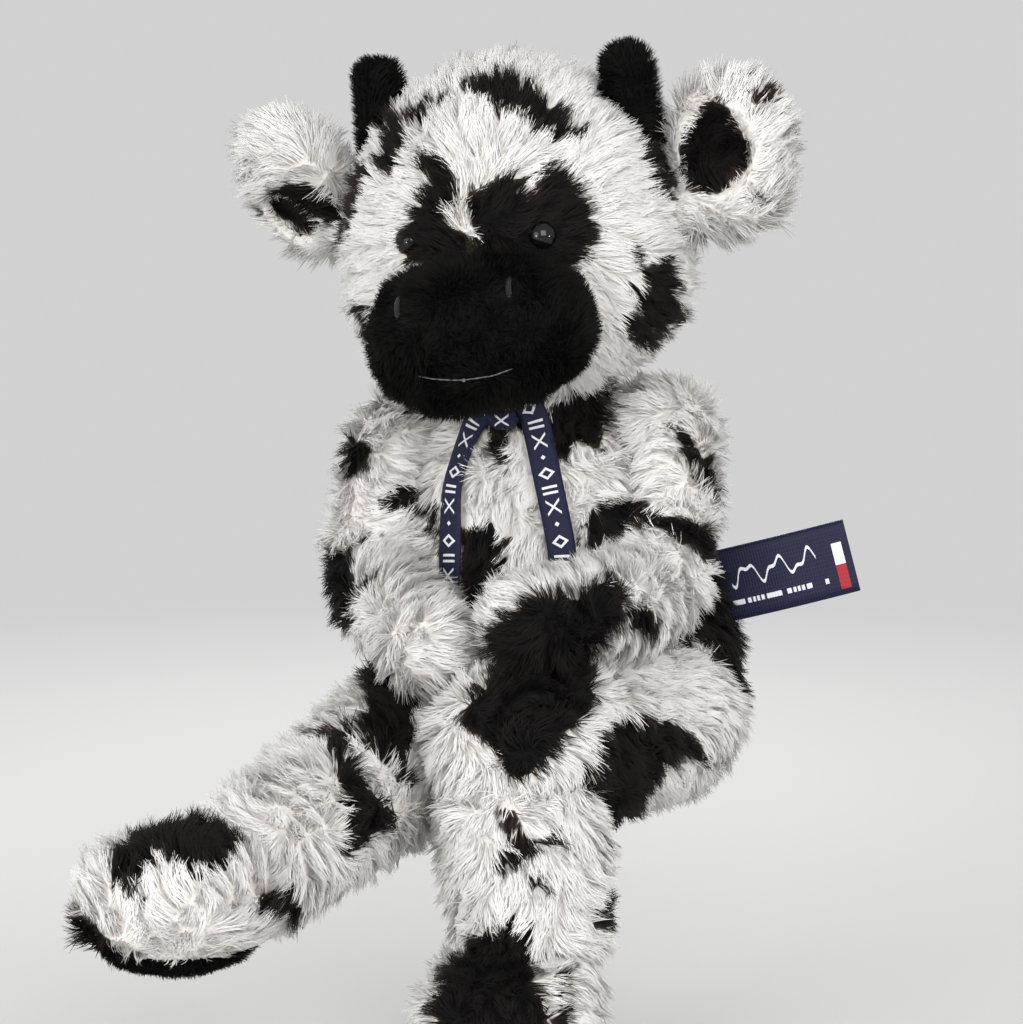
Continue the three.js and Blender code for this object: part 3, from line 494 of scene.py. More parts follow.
def spottedFurMaterial():
    material, tree, shader = newMaterial("spottedFur", 0.85, sheen=0.03, specular=0.12)
    tone = shaderNode(tree, "ShaderNodeAttribute", (-1300, 200), attribute_name="tone")
    place = shaderNode(tree, "ShaderNodeTexCoord", (-1500, 0))
    ragged = setInputs(shaderNode(tree, "ShaderNodeTexNoise", (-1300, 0)), Scale=170, Detail=2)
    tree.links.new(place.outputs["Object"], ragged.inputs["Vector"])
    wander = rangeNode(tree, ragged.outputs["Fac"], 0.25, 0.75, -0.8, 0.8)
    edge = rangeNode(tree, mathNode(tree, "ADD", tone.outputs["Fac"], wander), -0.35, 0.35, 0.0, 1.0, smooth=True)
    warmth = setInputs(shaderNode(tree, "ShaderNodeTexNoise", (-1300, -250)), Scale=28, Detail=2)
    tree.links.new(place.outputs["Object"], warmth.inputs["Vector"])
    warmTintAndShadeShare = rangeNode(tree, warmth.outputs["Fac"], 0.45, 0.75, 0.0, 0.5)
    along = shaderNode(tree, "ShaderNodeAttribute", (-1300, -450), attribute_name="along")
    # Painted shade: toward the root the white turns to the warm, darker colour, for the creamy shade inside the pile.
    rootPaintedShade = rangeNode(tree, along.outputs["Fac"], 0.0, 0.7, 1.0, 0.0)
    warmTintAndShadeShare = mathNode(tree, "MAXIMUM", warmTintAndShadeShare, rootPaintedShade)
    white = mixColors(tree, warmTintAndShadeShare, spottedFur["white"], spottedFur["warmTintAndRootShade"])
    black = mixColors(tree, rangeNode(tree, along.outputs["Fac"], 0.4, 1.0), spottedFur["black"], spottedFur["blackTip"])
    black = mixColors(tree, rangeNode(tree, tone.outputs["Fac"], 0.1, 1.1), spottedFur["brownEdge"], black)
    # The 0.93 is painted shade that darkens the roots a little more.
    tree.links.new(variedFur(tree, mixColors(tree, edge, white, black), 0.93, 0.04), shader.inputs["Base Color"])
    tree.links.new(furNormal(tree, 0.35), shader.inputs["Normal"])
    return material


def plushMaterial(name, color, tip):
    material, tree, shader = newMaterial(name, 0.8, sheen=0.01, sheenRoughness=0.4, specular=0.08)
    along = shaderNode(tree, "ShaderNodeAttribute", (-900, 0), attribute_name="along")
    pile = mixColors(tree, rangeNode(tree, along.outputs["Fac"], 0.3, 1.0), color, tip)
    # Painted shade: the plush darkens toward its roots by the 0.7 given here.
    tree.links.new(variedFur(tree, pile, 0.7, 0.25), shader.inputs["Base Color"])
    tree.links.new(furNormal(tree, 0.35), shader.inputs["Normal"])
    return material


# Fur: tapered, bent locks spread over a skin. The skin carries how dense, long and leaning its pile is.
def furTree():
    tree = bpy.data.node_groups.new("furLocks", "GeometryNodeTree")
    tree.interface.new_socket(name="Geometry", in_out="OUTPUT", socket_type="NodeSocketGeometry")
    tree.interface.new_socket(name="Skin", in_out="INPUT", socket_type="NodeSocketGeometry")
    for name, value in (("Density", 900000.0), ("Length", 0.009), ("Width", 0.0006), ("Bend", 0.002), ("Lean", 0.8),
                        ("Stray", 0.5), ("Clump Size", 0.005), ("Clump Pull", 0.6), ("Twist", 1.0)):
        socket = tree.interface.new_socket(name=name, in_out="INPUT", socket_type="NodeSocketFloat")
        socket.default_value = value
    tree.interface.new_socket(name="Seed", in_out="INPUT", socket_type="NodeSocketInt")
    tree.interface.new_socket(name="Fur", in_out="INPUT", socket_type="NodeSocketMaterial")
    make, link = tree.nodes.new, tree.links.new
    source, sink = make("NodeGroupInput"), make("NodeGroupOutput")
    given = source.outputs

    def named(name, kind="FLOAT"):
        node = make("GeometryNodeInputNamedAttribute")
        node.data_type = kind
        node.inputs["Name"].default_value = name
        return node.outputs["Attribute"]

    def calc(operation, *values):
        node = make("ShaderNodeMath")
        node.operation = operation
        for socket, value in zip(node.inputs, values):
            if isinstance(value, (int, float)):
                socket.default_value = value
            else:
                link(value, socket)
        return node.outputs[0]

    def vectorCalc(operation, *values):
        node = make("ShaderNodeVectorMath")
        node.operation = operation
        for socket, value in zip(node.inputs, values):
            if isinstance(value, tuple):
                socket.default_value = value
            else:
                link(value, socket)
        return node.outputs["Value" if operation == "DOT_PRODUCT" else "Vector"]

    def scaled(vector, factor):
        node = make("ShaderNodeVectorMath")
        node.operation = "SCALE"
        link(vector, node.inputs[0])
        if isinstance(factor, (int, float)):
            node.inputs["Scale"].default_value = factor
        else:
            link(factor, node.inputs["Scale"])
        return node.outputs[0]

    spread = make("GeometryNodeDistributePointsOnFaces")
    link(given["Skin"], spread.inputs["Mesh"])
    link(calc("MULTIPLY", given["Density"], named("cover")), spread.inputs["Density"])
    link(given["Seed"], spread.inputs["Seed"])
    place, normal = make("GeometryNodeInputPosition").outputs[0], spread.outputs["Normal"]
    flow = named("flow", "FLOAT_VECTOR")

    cells = make("ShaderNodeTexVoronoi")
    link(place, cells.inputs["Vector"])
    link(calc("DIVIDE", 1.0, given["Clump Size"]), cells.inputs["Scale"])
    toCell = scaled(vectorCalc("SUBTRACT", cells.outputs["Position"], place), calc("DIVIDE", 1.0, given["Clump Size"]))
    flat = vectorCalc("SUBTRACT", toCell, scaled(normal, vectorCalc("DOT_PRODUCT", toCell, normal)))
    wild = make("ShaderNodeTexWhiteNoise")
    link(place, wild.inputs["Vector"])
    stray = scaled(vectorCalc("SUBTRACT", wild.outputs["Color"], (0.5, 0.5, 0.5)), given["Stray"])
    swirl = make("ShaderNodeTexNoise")
    link(place, swirl.inputs["Vector"])
    swirl.inputs["Scale"].default_value = 55
    sway = scaled(vectorCalc("SUBTRACT", swirl.outputs["Color"], (0.5, 0.5, 0.5)), 1.5)
    pull = vectorCalc("ADD", scaled(flow, given["Lean"]), scaled(flat, given["Clump Pull"]))
    heading = vectorCalc("NORMALIZE", vectorCalc("ADD", vectorCalc("ADD", normal, pull), vectorCalc("ADD", stray, sway)))

    upright = make("FunctionNodeAlignRotationToVector")
    upright.axis = "Z"
    link(heading, upright.inputs["Vector"])
    drooped = make("FunctionNodeAlignRotationToVector")
    drooped.axis, drooped.pivot_axis = "X", "Z"
    link(upright.outputs[0], drooped.inputs["Rotation"])
    across = make("ShaderNodeTexWhiteNoise")
    link(scaled(place, 1.7), across.inputs["Vector"])
    chance = scaled(vectorCalc("SUBTRACT", across.outputs["Color"], (0.5, 0.5, 0.5)), given["Twist"])
    link(vectorCalc("ADD", vectorCalc("ADD", flow, chance), scaled(normal, -0.4)), drooped.inputs["Vector"])

    blade = make("GeometryNodeMeshGrid")
    for name, value in (("Size X", 1.0), ("Size Y", 1.0), ("Vertices X", 2), ("Vertices Y", 3)):
        blade.inputs[name].default_value = value
    split = make("ShaderNodeSeparateXYZ")
    link(make("GeometryNodeInputPosition").outputs[0], split.inputs[0])
    along = calc("ADD", split.outputs["Y"], 0.5)
    narrow = calc("SUBTRACT", 1.0, calc("MULTIPLY", calc("POWER", along, 1.5), 0.85))
    shape = make("ShaderNodeCombineXYZ")
    link(calc("MULTIPLY", calc("POWER", along, 2.0), given["Bend"]), shape.inputs["X"])
    link(calc("MULTIPLY", calc("MULTIPLY", split.outputs["X"], narrow), given["Width"]), shape.inputs["Y"])
    link(calc("MULTIPLY", along, given["Length"]), shape.inputs["Z"])
    marked = make("GeometryNodeStoreNamedAttribute")
    marked.data_type, marked.domain = "FLOAT", "POINT"
    marked.inputs["Name"].default_value = "along"
    link(blade.outputs["Mesh"], marked.inputs["Geometry"])
    link(along, marked.inputs["Value"])
    bent = make("GeometryNodeSetPosition")
    link(marked.outputs[0], bent.inputs["Geometry"])
    link(shape.outputs[0], bent.inputs["Position"])
    rounded = make("GeometryNodeSetShadeSmooth")
    link(bent.outputs[0], rounded.inputs["Geometry"])

    size = make("FunctionNodeRandomValue")
    size.data_type = "FLOAT"
    size.inputs[2].default_value, size.inputs[3].default_value = 0.7, 1.15
    link(given["Seed"], size.inputs["Seed"])
    tall = make("ShaderNodeCombineXYZ")
    link(size.outputs[1], tall.inputs["X"])
    link(size.outputs[1], tall.inputs["Y"])
    link(calc("MULTIPLY", size.outputs[1], named("pile")), tall.inputs["Z"])
    locks = make("GeometryNodeInstanceOnPoints")
    link(spread.outputs["Points"], locks.inputs["Points"])
    link(rounded.outputs[0], locks.inputs["Instance"])
    link(drooped.outputs[0], locks.inputs["Rotation"])
    link(tall.outputs[0], locks.inputs["Scale"])
    real = make("GeometryNodeRealizeInstances")
    link(locks.outputs[0], real.inputs[0])
    both = make("GeometryNodeJoinGeometry")
    link(real.outputs[0], both.inputs[0])
    link(given["Skin"], both.inputs[0])
    dressed = make("GeometryNodeSetMaterial")
    link(both.outputs[0], dressed.inputs["Geometry"])
    link(given["Fur"], dressed.inputs["Material"])
    link(dressed.outputs[0], sink.inputs["Geometry"])
    return tree


furLocks = furTree()
socketOf = {item.name: item.identifier for item in furLocks.interface.items_tree if item.in_out == "INPUT"}
longFur = {"Density": 1.95, "Length": 6.6, "Width": 0.5, "Bend": 2.2, "Lean": 0.8, "Stray": 0.36,
           "Clump Size": 7.0, "Clump Pull": 1.0, "Twist": 1.2}
shortPlush = {"Density": 3.2, "Length": 3.4, "Width": 0.42, "Bend": 0.8, "Lean": 0.6, "Stray": 0.6,
              "Clump Size": 4.0, "Clump Pull": 0.3, "Twist": 1.5}
lumps = {"size": 12.0, "depth": 0.45, "skin": 1.1, "lift": 0.6, "swirls": ((21.0, 0.8), (8.0, 0.6))}
triangles = {}


def growFur(skin, fur, material, seed):
    modifier = skin.modifiers.new("fur", "NODES")
    modifier.node_group = furLocks
    for name, value in fur.items():
        unit = 1e6 if name == "Density" else mm if name in ("Length", "Width", "Bend", "Clump Size") else 1
        modifier[socketOf[name]] = value * unit
    modifier[socketOf["Seed"]] = seed
    modifier[socketOf["Fur"]] = material
    flattened(skin)
    triangles[skin.name] = sum(len(polygon.vertices) - 2 for polygon in skin.data.polygons)
    return skin


# The way that the pile lies, along the skin: a fixed way, or away from a place, or both.
def flowField(points, normals, rule):
    way = np.tile(np.array(rule.get("toward", (0, 0, 0)), float), (len(points), 1))
    if "from" in rule:
        away = points / mm - np.array(rule["from"], float)
        way += away / np.linalg.norm(away, axis=1)[:, None]
    for size, share in lumps["swirls"]:
        swirl = np.array([tuple(noise.noise_vector(Vector(point / mm / size))) for point in points])
        way += share * rule.get("swirl", 1.9) * swirl
    way -= normals * (way * normals).sum(axis=1)[:, None]
    return way / np.maximum(np.linalg.norm(way, axis=1), 0.6)[:, None]


def smoothStep(values, low, high):
    share = np.clip((values - low) / (high - low), 0, 1)
    return share * share * (3 - 2 * share)


def furPiece(name, sources, rule, material, fur, hidden=(), pressed=(), seed=1, voxel=2.6, tone=None,
             thin=()):
    skin = softForm(name, sources, voxel)
    points, normals = meshArrays(skin.data)
    bumps = np.array([noise.noise(Vector(point / mm / lumps["size"])) for point in points])
    if fur["Length"] > 6:
        points += normals * ((lumps["lift"] + lumps["skin"] * bumps) * mm)[:, None]
        skin.data.vertices.foreach_set("co", points.ravel())
        skin.data.update()
        points, normals = meshArrays(skin.data)
    flow = flowField(points, normals, rule)
    cover = np.ones(len(points))
    pile = 1 + lumps["depth"] * bumps
    if thin:
        cover *= 0.3 + 0.7 * smoothStep(depthsOutside(points, [cadTree(node) for node in thin]) / mm, 0, 4)
    if hidden:
        outside = depthsOutside(points, [cadTree(node) for node in hidden]) / mm
        cover *= smoothStep(outside, 0.2, 1.5)
        pile *= 0.35 + 0.65 * smoothStep(outside, 0, fur["Length"] * 0.8)
    for place, radius, least in pressed:
        distance = np.linalg.norm(points / mm - np.array(place), axis=1)
        pile *= least + (1 - least) * smoothStep(distance, radius * 0.5, radius)
    length = np.full(len(points), fur["Length"] * mm) * pile
    storeFloats(skin.data, "cover", cover)
    storeFloats(skin.data, "pile", pile)
    storeVectors(skin.data, "flow", flow)
    storeVectors(skin.data, "outwards", normals)
    storeFloats(skin.data, "tone", spotTone(tone or name, points, normals, flow, length))
    growFur(skin, fur, material, seed)
    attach(skin, bodyOf[sources[0]])
    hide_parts(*sources)
    return skin


makeCamera()
print("camera set")

# Ribbon ends: where they run down the chest, in the photograph's pixels
ribbon = {"width": 10.0, "thickness": 0.45, "above": 6.0, "curl": 0.7,
          "ribbon_end_left": {"path": [(524, 402), (534, 411), (541, 445), (549, 482), (556, 515), (563, 552), (562, 580)],
                              "length": 66},
          "ribbon_end_right": {"path": [(487, 408), (475, 419), (462, 452), (453, 490), (450, 540), (449, 597)],
                               "length": 70}}


def evenPath(points, count, length=None):
    points = np.array([tuple(point) for point in points])
    steps = np.concatenate([[0], np.cumsum(np.linalg.norm(np.diff(points, axis=0), axis=1))])
    total = steps[-1] if length is None else length
    wanted = np.linspace(0, total, count)
    even = np.stack([np.interp(wanted, steps, points[:, axis]) for axis in range(3)], axis=1)
    spare = wanted - steps[-1]
    last = points[-1] - points[-2]
    even[spare > 0] = points[-1] + spare[spare > 0][:, None] * last / np.linalg.norm(last)
    return even


def smoothed(points, rounds=6):
    for _ in range(rounds):
        points[1:-1] = (points[:-2] + 2 * points[1:-1] + points[2:]) / 4
    return points


# A cloth strip along a path. Its UV runs 0 to 1 across and in widths along.
def strip(name, middles, outs, width, thickness, curl=0.0, across=7):
    count = len(middles)
    tangents = np.gradient(middles, axis=0)
    sides = np.cross(tangents, outs)
    sides /= np.linalg.norm(sides, axis=1)[:, None]
    shares = np.linspace(-0.5, 0.5, across)
    mesh = bpy.data.meshes.new(name)
    points = [middles[row] + sides[row] * width * share + outs[row] * curl * (0.25 - share * share) * 4
              for row in range(count) for share in shares]
    faces = [(row * across + column, row * across + column + 1, (row + 1) * across + column + 1, (row + 1) * across + column)
             for row in range(count - 1) for column in range(across - 1)]
    mesh.from_pydata([tuple(point) for point in points], [], faces)
    lengths = np.concatenate([[0], np.cumsum(np.linalg.norm(np.diff(middles, axis=0), axis=1))]) / width
    layer = mesh.uv_layers.new(name="UVMap")
    for loop in mesh.loops:
        row, column = divmod(loop.vertex_index, across)
        layer.data[loop.index].uv = (shares[column] + 0.5, lengths[row])
    piece = newPiece(name, mesh)
    shell = piece.modifiers.new("thickness", "SOLIDIFY")
    shell.thickness, shell.offset = thickness, 0
    flattened(piece)
    for polygon in piece.data.polygons:
        polygon.use_smooth = True
    return piece


def ribbonPath(node):
    tree = cadTree("torso")
    hits, outs = [], []
    corners = ribbon[node]["path"]
    for start, end in zip(corners, corners[1:]):
        for share in (0, 0.34, 0.67):
            across, down = (start[0] + (end[0] - start[0]) * share, start[1] + (end[1] - start[1]) * share)
            ray = pixelRay(across, down)
            place, normal, _, _ = tree.ray_cast(eyePoint, ray)
            if place is not None:
                hits.append(eyePoint + ray * (place + normal * ribbon["above"] * mm - eyePoint).dot(ray))
                outs.append(normal)
    middles = evenPath(hits, 48, ribbon[node]["length"] * mm)
    ways = evenPath(outs, 48)
    ways = smoothed(ways, 12)
    ways /= np.linalg.norm(ways, axis=1)[:, None]
    middles = smoothed(middles, 8)
    ripple = np.sin(np.linspace(0, 9, 48) + len(node)) * 0.5 * mm
    return middles + ways * ripple[:, None], ways


# Weave of a narrow navy tape: ribs across, threads along, and a finer shade between them.
def wovenCloth():
    group = bpy.data.node_groups.new("wovenCloth", "ShaderNodeTree")
    for name in ("Ribs", "Threads"):
        group.interface.new_socket(name=name, in_out="INPUT", socket_type="NodeSocketFloat")
    group.interface.new_socket(name="Height", in_out="OUTPUT", socket_type="NodeSocketFloat")
    source, sink = shaderNode(group, "NodeGroupInput"), shaderNode(group, "NodeGroupOutput")
    place = shaderNode(group, "ShaderNodeUVMap", uv_map="UVMap")
    split = shaderNode(group, "ShaderNodeSeparateXYZ")
    group.links.new(place.outputs[0], split.inputs[0])
    turn = 2 * math.pi
    rib = mathNode(group, "SINE", mathNode(group, "MULTIPLY", mathNode(group, "MULTIPLY", split.outputs["Y"], source.outputs["Ribs"]), turn))
    thread = mathNode(group, "SINE", mathNode(group, "MULTIPLY", mathNode(group, "MULTIPLY", split.outputs["X"], source.outputs["Threads"]), turn))
    height = rangeNode(group, mathNode(group, "ADD", rib, mathNode(group, "MULTIPLY", thread, 0.6)), -1.6, 1.6)
    group.links.new(height, sink.inputs["Height"])
    return group


wovenGroup = wovenCloth()
navyTape = {"navy": (0.009, 0.011, 0.045), "grooveShade": (0.004, 0.005, 0.020), "mark": (0.72, 0.72, 0.74), "red": (0.35, 0.02, 0.03)}


# Navy weave with pale woven marks. The marks are given by a function of the tree, u and v.
def tapeMaterial(name, marks):
    material, tree, shader = newMaterial(name, 0.6, sheen=0.04, sheenRoughness=0.35, specular=0.3)
    weave = setInputs(shaderNode(tree, "ShaderNodeGroup", node_tree=wovenGroup), Ribs=26, Threads=18)
    place = shaderNode(tree, "ShaderNodeUVMap", uv_map="UVMap")
    split = shaderNode(tree, "ShaderNodeSeparateXYZ")
    tree.links.new(place.outputs[0], split.inputs[0])
    # Painted shade: the navy darkens in the low grooves of the weave.
    ground = mixColors(tree, weave.outputs["Height"], navyTape["grooveShade"], navyTape["navy"])
    color = marks(tree, split.outputs["X"], split.outputs["Y"], ground)
    tree.links.new(color, shader.inputs["Base Color"])
    bump = setInputs(shaderNode(tree, "ShaderNodeBump"), Strength=0.5, Distance=0.0002)
    tree.links.new(weave.outputs["Height"], bump.inputs["Height"])
    tree.links.new(bump.outputs[0], shader.inputs["Normal"])
    return material


def within(tree, value, low, high):
    over = mathNode(tree, "GREATER_THAN", value, low)
    return mathNode(tree, "MULTIPLY", over, mathNode(tree, "LESS_THAN", value, high))


# Plain woven shapes in turn: an open diamond, a pair of bars, a cross of two dots.
def ribbonMarks(tree, across, along, ground):
    pitch = 0.62
    place = mathNode(tree, "DIVIDE", along, pitch)
    cell = mathNode(tree, "MODULO", mathNode(tree, "FLOOR", place), 4.0)
    offset = mathNode(tree, "MULTIPLY", mathNode(tree, "SUBTRACT", mathNode(tree, "FRACT", place), 0.5), pitch)
    side = mathNode(tree, "SUBTRACT", across, 0.5)
    far = mathNode(tree, "ABSOLUTE", side)
    ahead = mathNode(tree, "ABSOLUTE", offset)
    diamond = mathNode(tree, "ADD", mathNode(tree, "DIVIDE", far, 0.3), mathNode(tree, "DIVIDE", ahead, 0.24))
    openDiamond = mathNode(tree, "MULTIPLY", within(tree, diamond, 0.55, 1.0), mathNode(tree, "COMPARE", cell, 0.0))
    bars = mathNode(tree, "MULTIPLY", within(tree, ahead, 0.06, 0.15), mathNode(tree, "LESS_THAN", far, 0.27))
    bars = mathNode(tree, "MULTIPLY", bars, mathNode(tree, "COMPARE", cell, 1.0))
    cross = mathNode(tree, "MULTIPLY", within(tree, mathNode(tree, "SUBTRACT", far, ahead), -0.05, 0.05),
                     mathNode(tree, "LESS_THAN", far, 0.24))
    cross = mathNode(tree, "MULTIPLY", cross, mathNode(tree, "COMPARE", cell, 2.0))
    dot = mathNode(tree, "MULTIPLY", mathNode(tree, "LESS_THAN", mathNode(tree, "ADD", far, ahead), 0.09),
                   mathNode(tree, "COMPARE", cell, 3.0))
    total = mathNode(tree, "ADD", mathNode(tree, "ADD", openDiamond, bars), mathNode(tree, "ADD", cross, dot), clamp=True)
    return mixColors(tree, total, ground, navyTape["mark"])


# A waving stitched line, a row of short dashes under it, and a pale and a red block near the fold.
def labelMarks(tree, across, along, ground):
    def wave(rate, height):
        turns = mathNode(tree, "SINE", mathNode(tree, "MULTIPLY", along, rate * 2 * math.pi))
        return mathNode(tree, "MULTIPLY", turns, height)

    line = mathNode(tree, "SUBTRACT", mathNode(tree, "SUBTRACT", across, 0.6), mathNode(tree, "ADD", wave(2.3, 0.11), wave(5.1, 0.05)))
    stitch = mathNode(tree, "MULTIPLY", within(tree, line, -0.024, 0.024), within(tree, along, 0.3, 1.5))
    uneven = mathNode(tree, "ADD", mathNode(tree, "MULTIPLY", along, 9.0), wave(1.7, 0.8))
    dashes = mathNode(tree, "GREATER_THAN", mathNode(tree, "FRACT", uneven), 0.35)
    row = mathNode(tree, "MULTIPLY", within(tree, across, 0.2, 0.27), within(tree, along, 0.25, 1.6))
    dashes = mathNode(tree, "MULTIPLY", dashes, row)
    end = within(tree, along, 1.74, 1.88)
    block = mathNode(tree, "MULTIPLY", end, within(tree, across, 0.42, 0.72))
    red = mathNode(tree, "MULTIPLY", end, within(tree, across, 0.08, 0.42))
    pale = mathNode(tree, "ADD", mathNode(tree, "ADD", stitch, dashes), block, clamp=True)
    return mixColors(tree, red, mixColors(tree, pale, ground, navyTape["mark"]), navyTape["red"])


ribbonMaterial = tapeMaterial("navyRibbon", ribbonMarks)
labelMaterial = tapeMaterial("navyLabel", labelMarks)
ribbonPaths = {node: ribbonPath(node) for node in ("ribbon_end_left", "ribbon_end_right")}
for node, (middles, outs) in ribbonPaths.items():
    piece = strip(f"{node}_tape", middles, outs, ribbon["width"] * mm, ribbon["thickness"] * mm, ribbon["curl"] * mm)
    piece.data.materials.append(ribbonMaterial)
    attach(piece, bodyOf[node])
    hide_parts(node)
print("ribbon ends laid")

# Collar: the band round the neck, in two stretches between the shoulders
collar = {"width": 10, "back": {"start": 12, "end": 168, "height": 135, "above": 2.2, "sunk": 3.6},
          "front": {"start": 243, "end": 286, "height": 139.5, "above": 0.4, "sunk": 0}}


def collarStretch(name, run):
    low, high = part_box("ribbon_collar")
    middle, half = (low + high) / 2, (high - low) / 2
    turns = np.radians(np.linspace(run["start"], run["end"], 60))
    ends = smoothStep(np.minimum(turns - turns[0], turns[-1] - turns), 0, math.radians(32))
    above = (run["above"] - run["sunk"] * (1 - ends)) * mm
    middles = np.stack([middle.x + (half.x + above) * np.cos(turns), middle.y + (half.y + above) * np.sin(turns),
                        np.full(60, run["height"] * mm)], axis=1)
    outs = np.stack([np.cos(turns), np.sin(turns), np.zeros(60)], axis=1)
    piece = strip(name, middles, outs, collar["width"] * mm, ribbon["thickness"] * mm, 0.2 * mm, across=5)
    piece.data.materials.append(ribbonMaterial)
    length = float(np.linalg.norm(np.diff(middles, axis=0), axis=1).sum())
    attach(piece, "torso")
    return piece, length, middles


backStretch, backLength, backMiddles = collarStretch("collar_back_tape", collar["back"])
frontStretch, frontLength, _ = collarStretch("collar_front_tape", collar["front"])
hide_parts("ribbon_collar")
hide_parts("ribbon_collar")


# A flat band wrapped tight round the ribbon, pinched at its sides.
def knotPiece():
    low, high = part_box("ribbon_knot")
    middle, half = (low + high) / 2 + Vector((0, 0, 1.5 * mm)), (high - low) / 2
    around, rows = 28, 15
    mesh = bpy.data.meshes.new("ribbon_knot_wrap")
    points, faces = [], []
    for row in range(rows):
        share = row / (rows - 1) * 2 - 1
        fall = math.sqrt(max(1 - abs(share) ** 5, 0.05))
        for column in range(around):
            angle = 2 * math.pi * column / around
            fold = 1 + 0.05 * math.cos(9 * share + 2 * math.sin(angle))
            points.append((middle.x + half.x * share * (0.92 + 0.08 * math.cos(angle * 2)),
                           middle.y + half.y * 0.95 * fall * fold * math.cos(angle),
                           middle.z + half.z * 0.74 * fall * fold * math.sin(angle)))
    for row in range(rows - 1):
        for column in range(around):
            after = (column + 1) % around
            faces.append((row * around + column, (row + 1) * around + column, (row + 1) * around + after, row * around + after))
    faces.append(tuple(range(around)))
    faces.append(tuple(reversed(range((rows - 1) * around, rows * around))))
    mesh.from_pydata(points, [], faces)
    layer = mesh.uv_layers.new(name="UVMap")
    for loop in mesh.loops:
        row, column = divmod(loop.vertex_index, around)
        layer.data[loop.index].uv = (row / (rows - 1), column / around * 3)
    piece = newPiece("ribbon_knot_wrap", mesh)
    form = bmesh.new()
    form.from_mesh(mesh)
    bmesh.ops.recalc_face_normals(form, faces=form.faces)
    form.to_mesh(mesh)
    form.free()
    for polygon in mesh.polygons:
        polygon.use_smooth = True
    mesh.materials.append(ribbonMaterial)
    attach(piece, "torso")
    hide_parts("ribbon_knot")
    return piece


knot = knotPiece()
print("collar and knot tied")

# Side label: one strip, folded double, with both ends in the side seam
label = {"width": 26.5, "length": 104, "apart": 1.5, "bow": 2.0, "rise": 15, "yaw": 4, "thickness": 0.35}


def labelPiece():
    low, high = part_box("side_label")
    rise, yaw = math.radians(label["rise"]), math.radians(label["yaw"])
    out = Vector((math.cos(yaw) * math.cos(rise), math.sin(yaw) * math.cos(rise), math.sin(rise)))
    acrossWay = Vector((-math.sin(rise), 0, math.cos(rise)))
    face = out.cross(acrossWay).normalized()
    reach = label["length"] / 2 * mm
    middle = (low + high) / 2
    root = middle - out * reach / 2
    half = reach - label["apart"] / 2 * mm
    rows = []
    for layer, way in ((1, 1), (-1, -1)):
        for step in range(15):
            share = step / 14 if way == 1 else 1 - step / 14
            sag = label["bow"] * math.sin(math.pi * share) * mm
            rows.append(root + out * half * share + face * (sag + layer * label["apart"] / 2 * mm * min(1, share * 6)))
        if way == 1:
            for step in range(1, 6):
                angle = math.pi / 2 - math.pi * step / 6
                rows.append(root + out * (half + label["apart"] / 2 * mm * math.cos(angle))
                            + face * (label["apart"] / 2 * mm * math.sin(angle)))
    middles = np.array([tuple(row) for row in rows])
    tangents = np.gradient(middles, axis=0)
    outs = np.cross(np.tile(np.array(acrossWay), (len(rows), 1)), tangents)
    outs /= np.linalg.norm(outs, axis=1)[:, None]
    piece = strip("side_label_tape", middles, outs, label["width"] * mm, label["thickness"] * mm, across=9)
    piece.data.materials.append(labelMaterial)
    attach(piece, "torso")
    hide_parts("side_label")


labelPiece()
print("label folded")

# Eyes: glossy domes on their shanks
eyes = {"radius": 4.8, "height": 3.6, "shankRadius": 1.6, "shankLength": 12, "around": 48}
eyePlaces = {}


def eyeMaterial():
    material, tree, shader = newMaterial("glossyEye", 0.05, specular=0.35)
    place = shaderNode(tree, "ShaderNodeTexCoord")
    dust = setInputs(shaderNode(tree, "ShaderNodeTexNoise"), Scale=900, Detail=2)
    tree.links.new(place.outputs["Object"], dust.inputs["Vector"])
    tree.links.new(rangeNode(tree, dust.outputs["Fac"], 0.5, 0.8, 0.03, 0.12), shader.inputs["Roughness"])
    tree.links.new(mixColors(tree, dust.outputs["Fac"], (0.002, 0.002, 0.0025), (0.005, 0.0045, 0.0045)), shader.inputs["Base Color"])
    return material


eyeGloss = eyeMaterial()


def eyePiece(side):
    low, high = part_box(f"eye_washer_{side}")
    washer = (low + high) / 2
    apex = max((vertex.co for vertex in nodes[f"eye_{side}"].data.vertices), key=lambda point: (point - washer).length)
    look = (apex - washer).normalized()
    base = apex - look * 3.6 * mm
    eyePlaces[side] = (base, look)
    profile = [(0.0, -eyes["shankLength"]), (eyes["shankRadius"], -eyes["shankLength"]), (eyes["shankRadius"], -0.4),
               (eyes["radius"] - 0.3, -0.35), (eyes["radius"], 0.0)]
    for step in range(1, 15):
        angle = math.pi / 2 * step / 14
        profile.append((eyes["radius"] * math.cos(angle), eyes["height"] * math.sin(angle)))
    form = bmesh.new()
    turn = Vector((0, 0, 1)).rotation_difference(look).to_matrix()
    rings = []
    for radius, height in profile:
        if radius < 0.001:
            rings.append([form.verts.new(base + turn @ Vector((0, 0, height)) * mm)])
            continue
        rings.append([form.verts.new(base + turn @ Vector((radius * math.cos(2 * math.pi * k / eyes["around"]),
                                                           radius * math.sin(2 * math.pi * k / eyes["around"]), height)) * mm)
                      for k in range(eyes["around"])])
    for first, second in zip(rings, rings[1:]):
        for k in range(eyes["around"]):
            after = (k + 1) % eyes["around"]
            corners = [first[k % len(first)], first[after % len(first)], second[after % len(second)], second[k % len(second)]]
            form.faces.new(list(dict.fromkeys(corners)))
    bmesh.ops.recalc_face_normals(form, faces=form.faces)
    mesh = bpy.data.meshes.new(f"eye_{side}_dome")
    form.to_mesh(mesh)
    form.free()
    for polygon in mesh.polygons:
        polygon.use_smooth = True
    mesh.materials.append(eyeGloss)
    piece = newPiece(f"eye_{side}_dome", mesh)
    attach(piece, "head")
    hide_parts(f"eye_{side}")


for side in ("left", "right"):
    eyePiece(side)


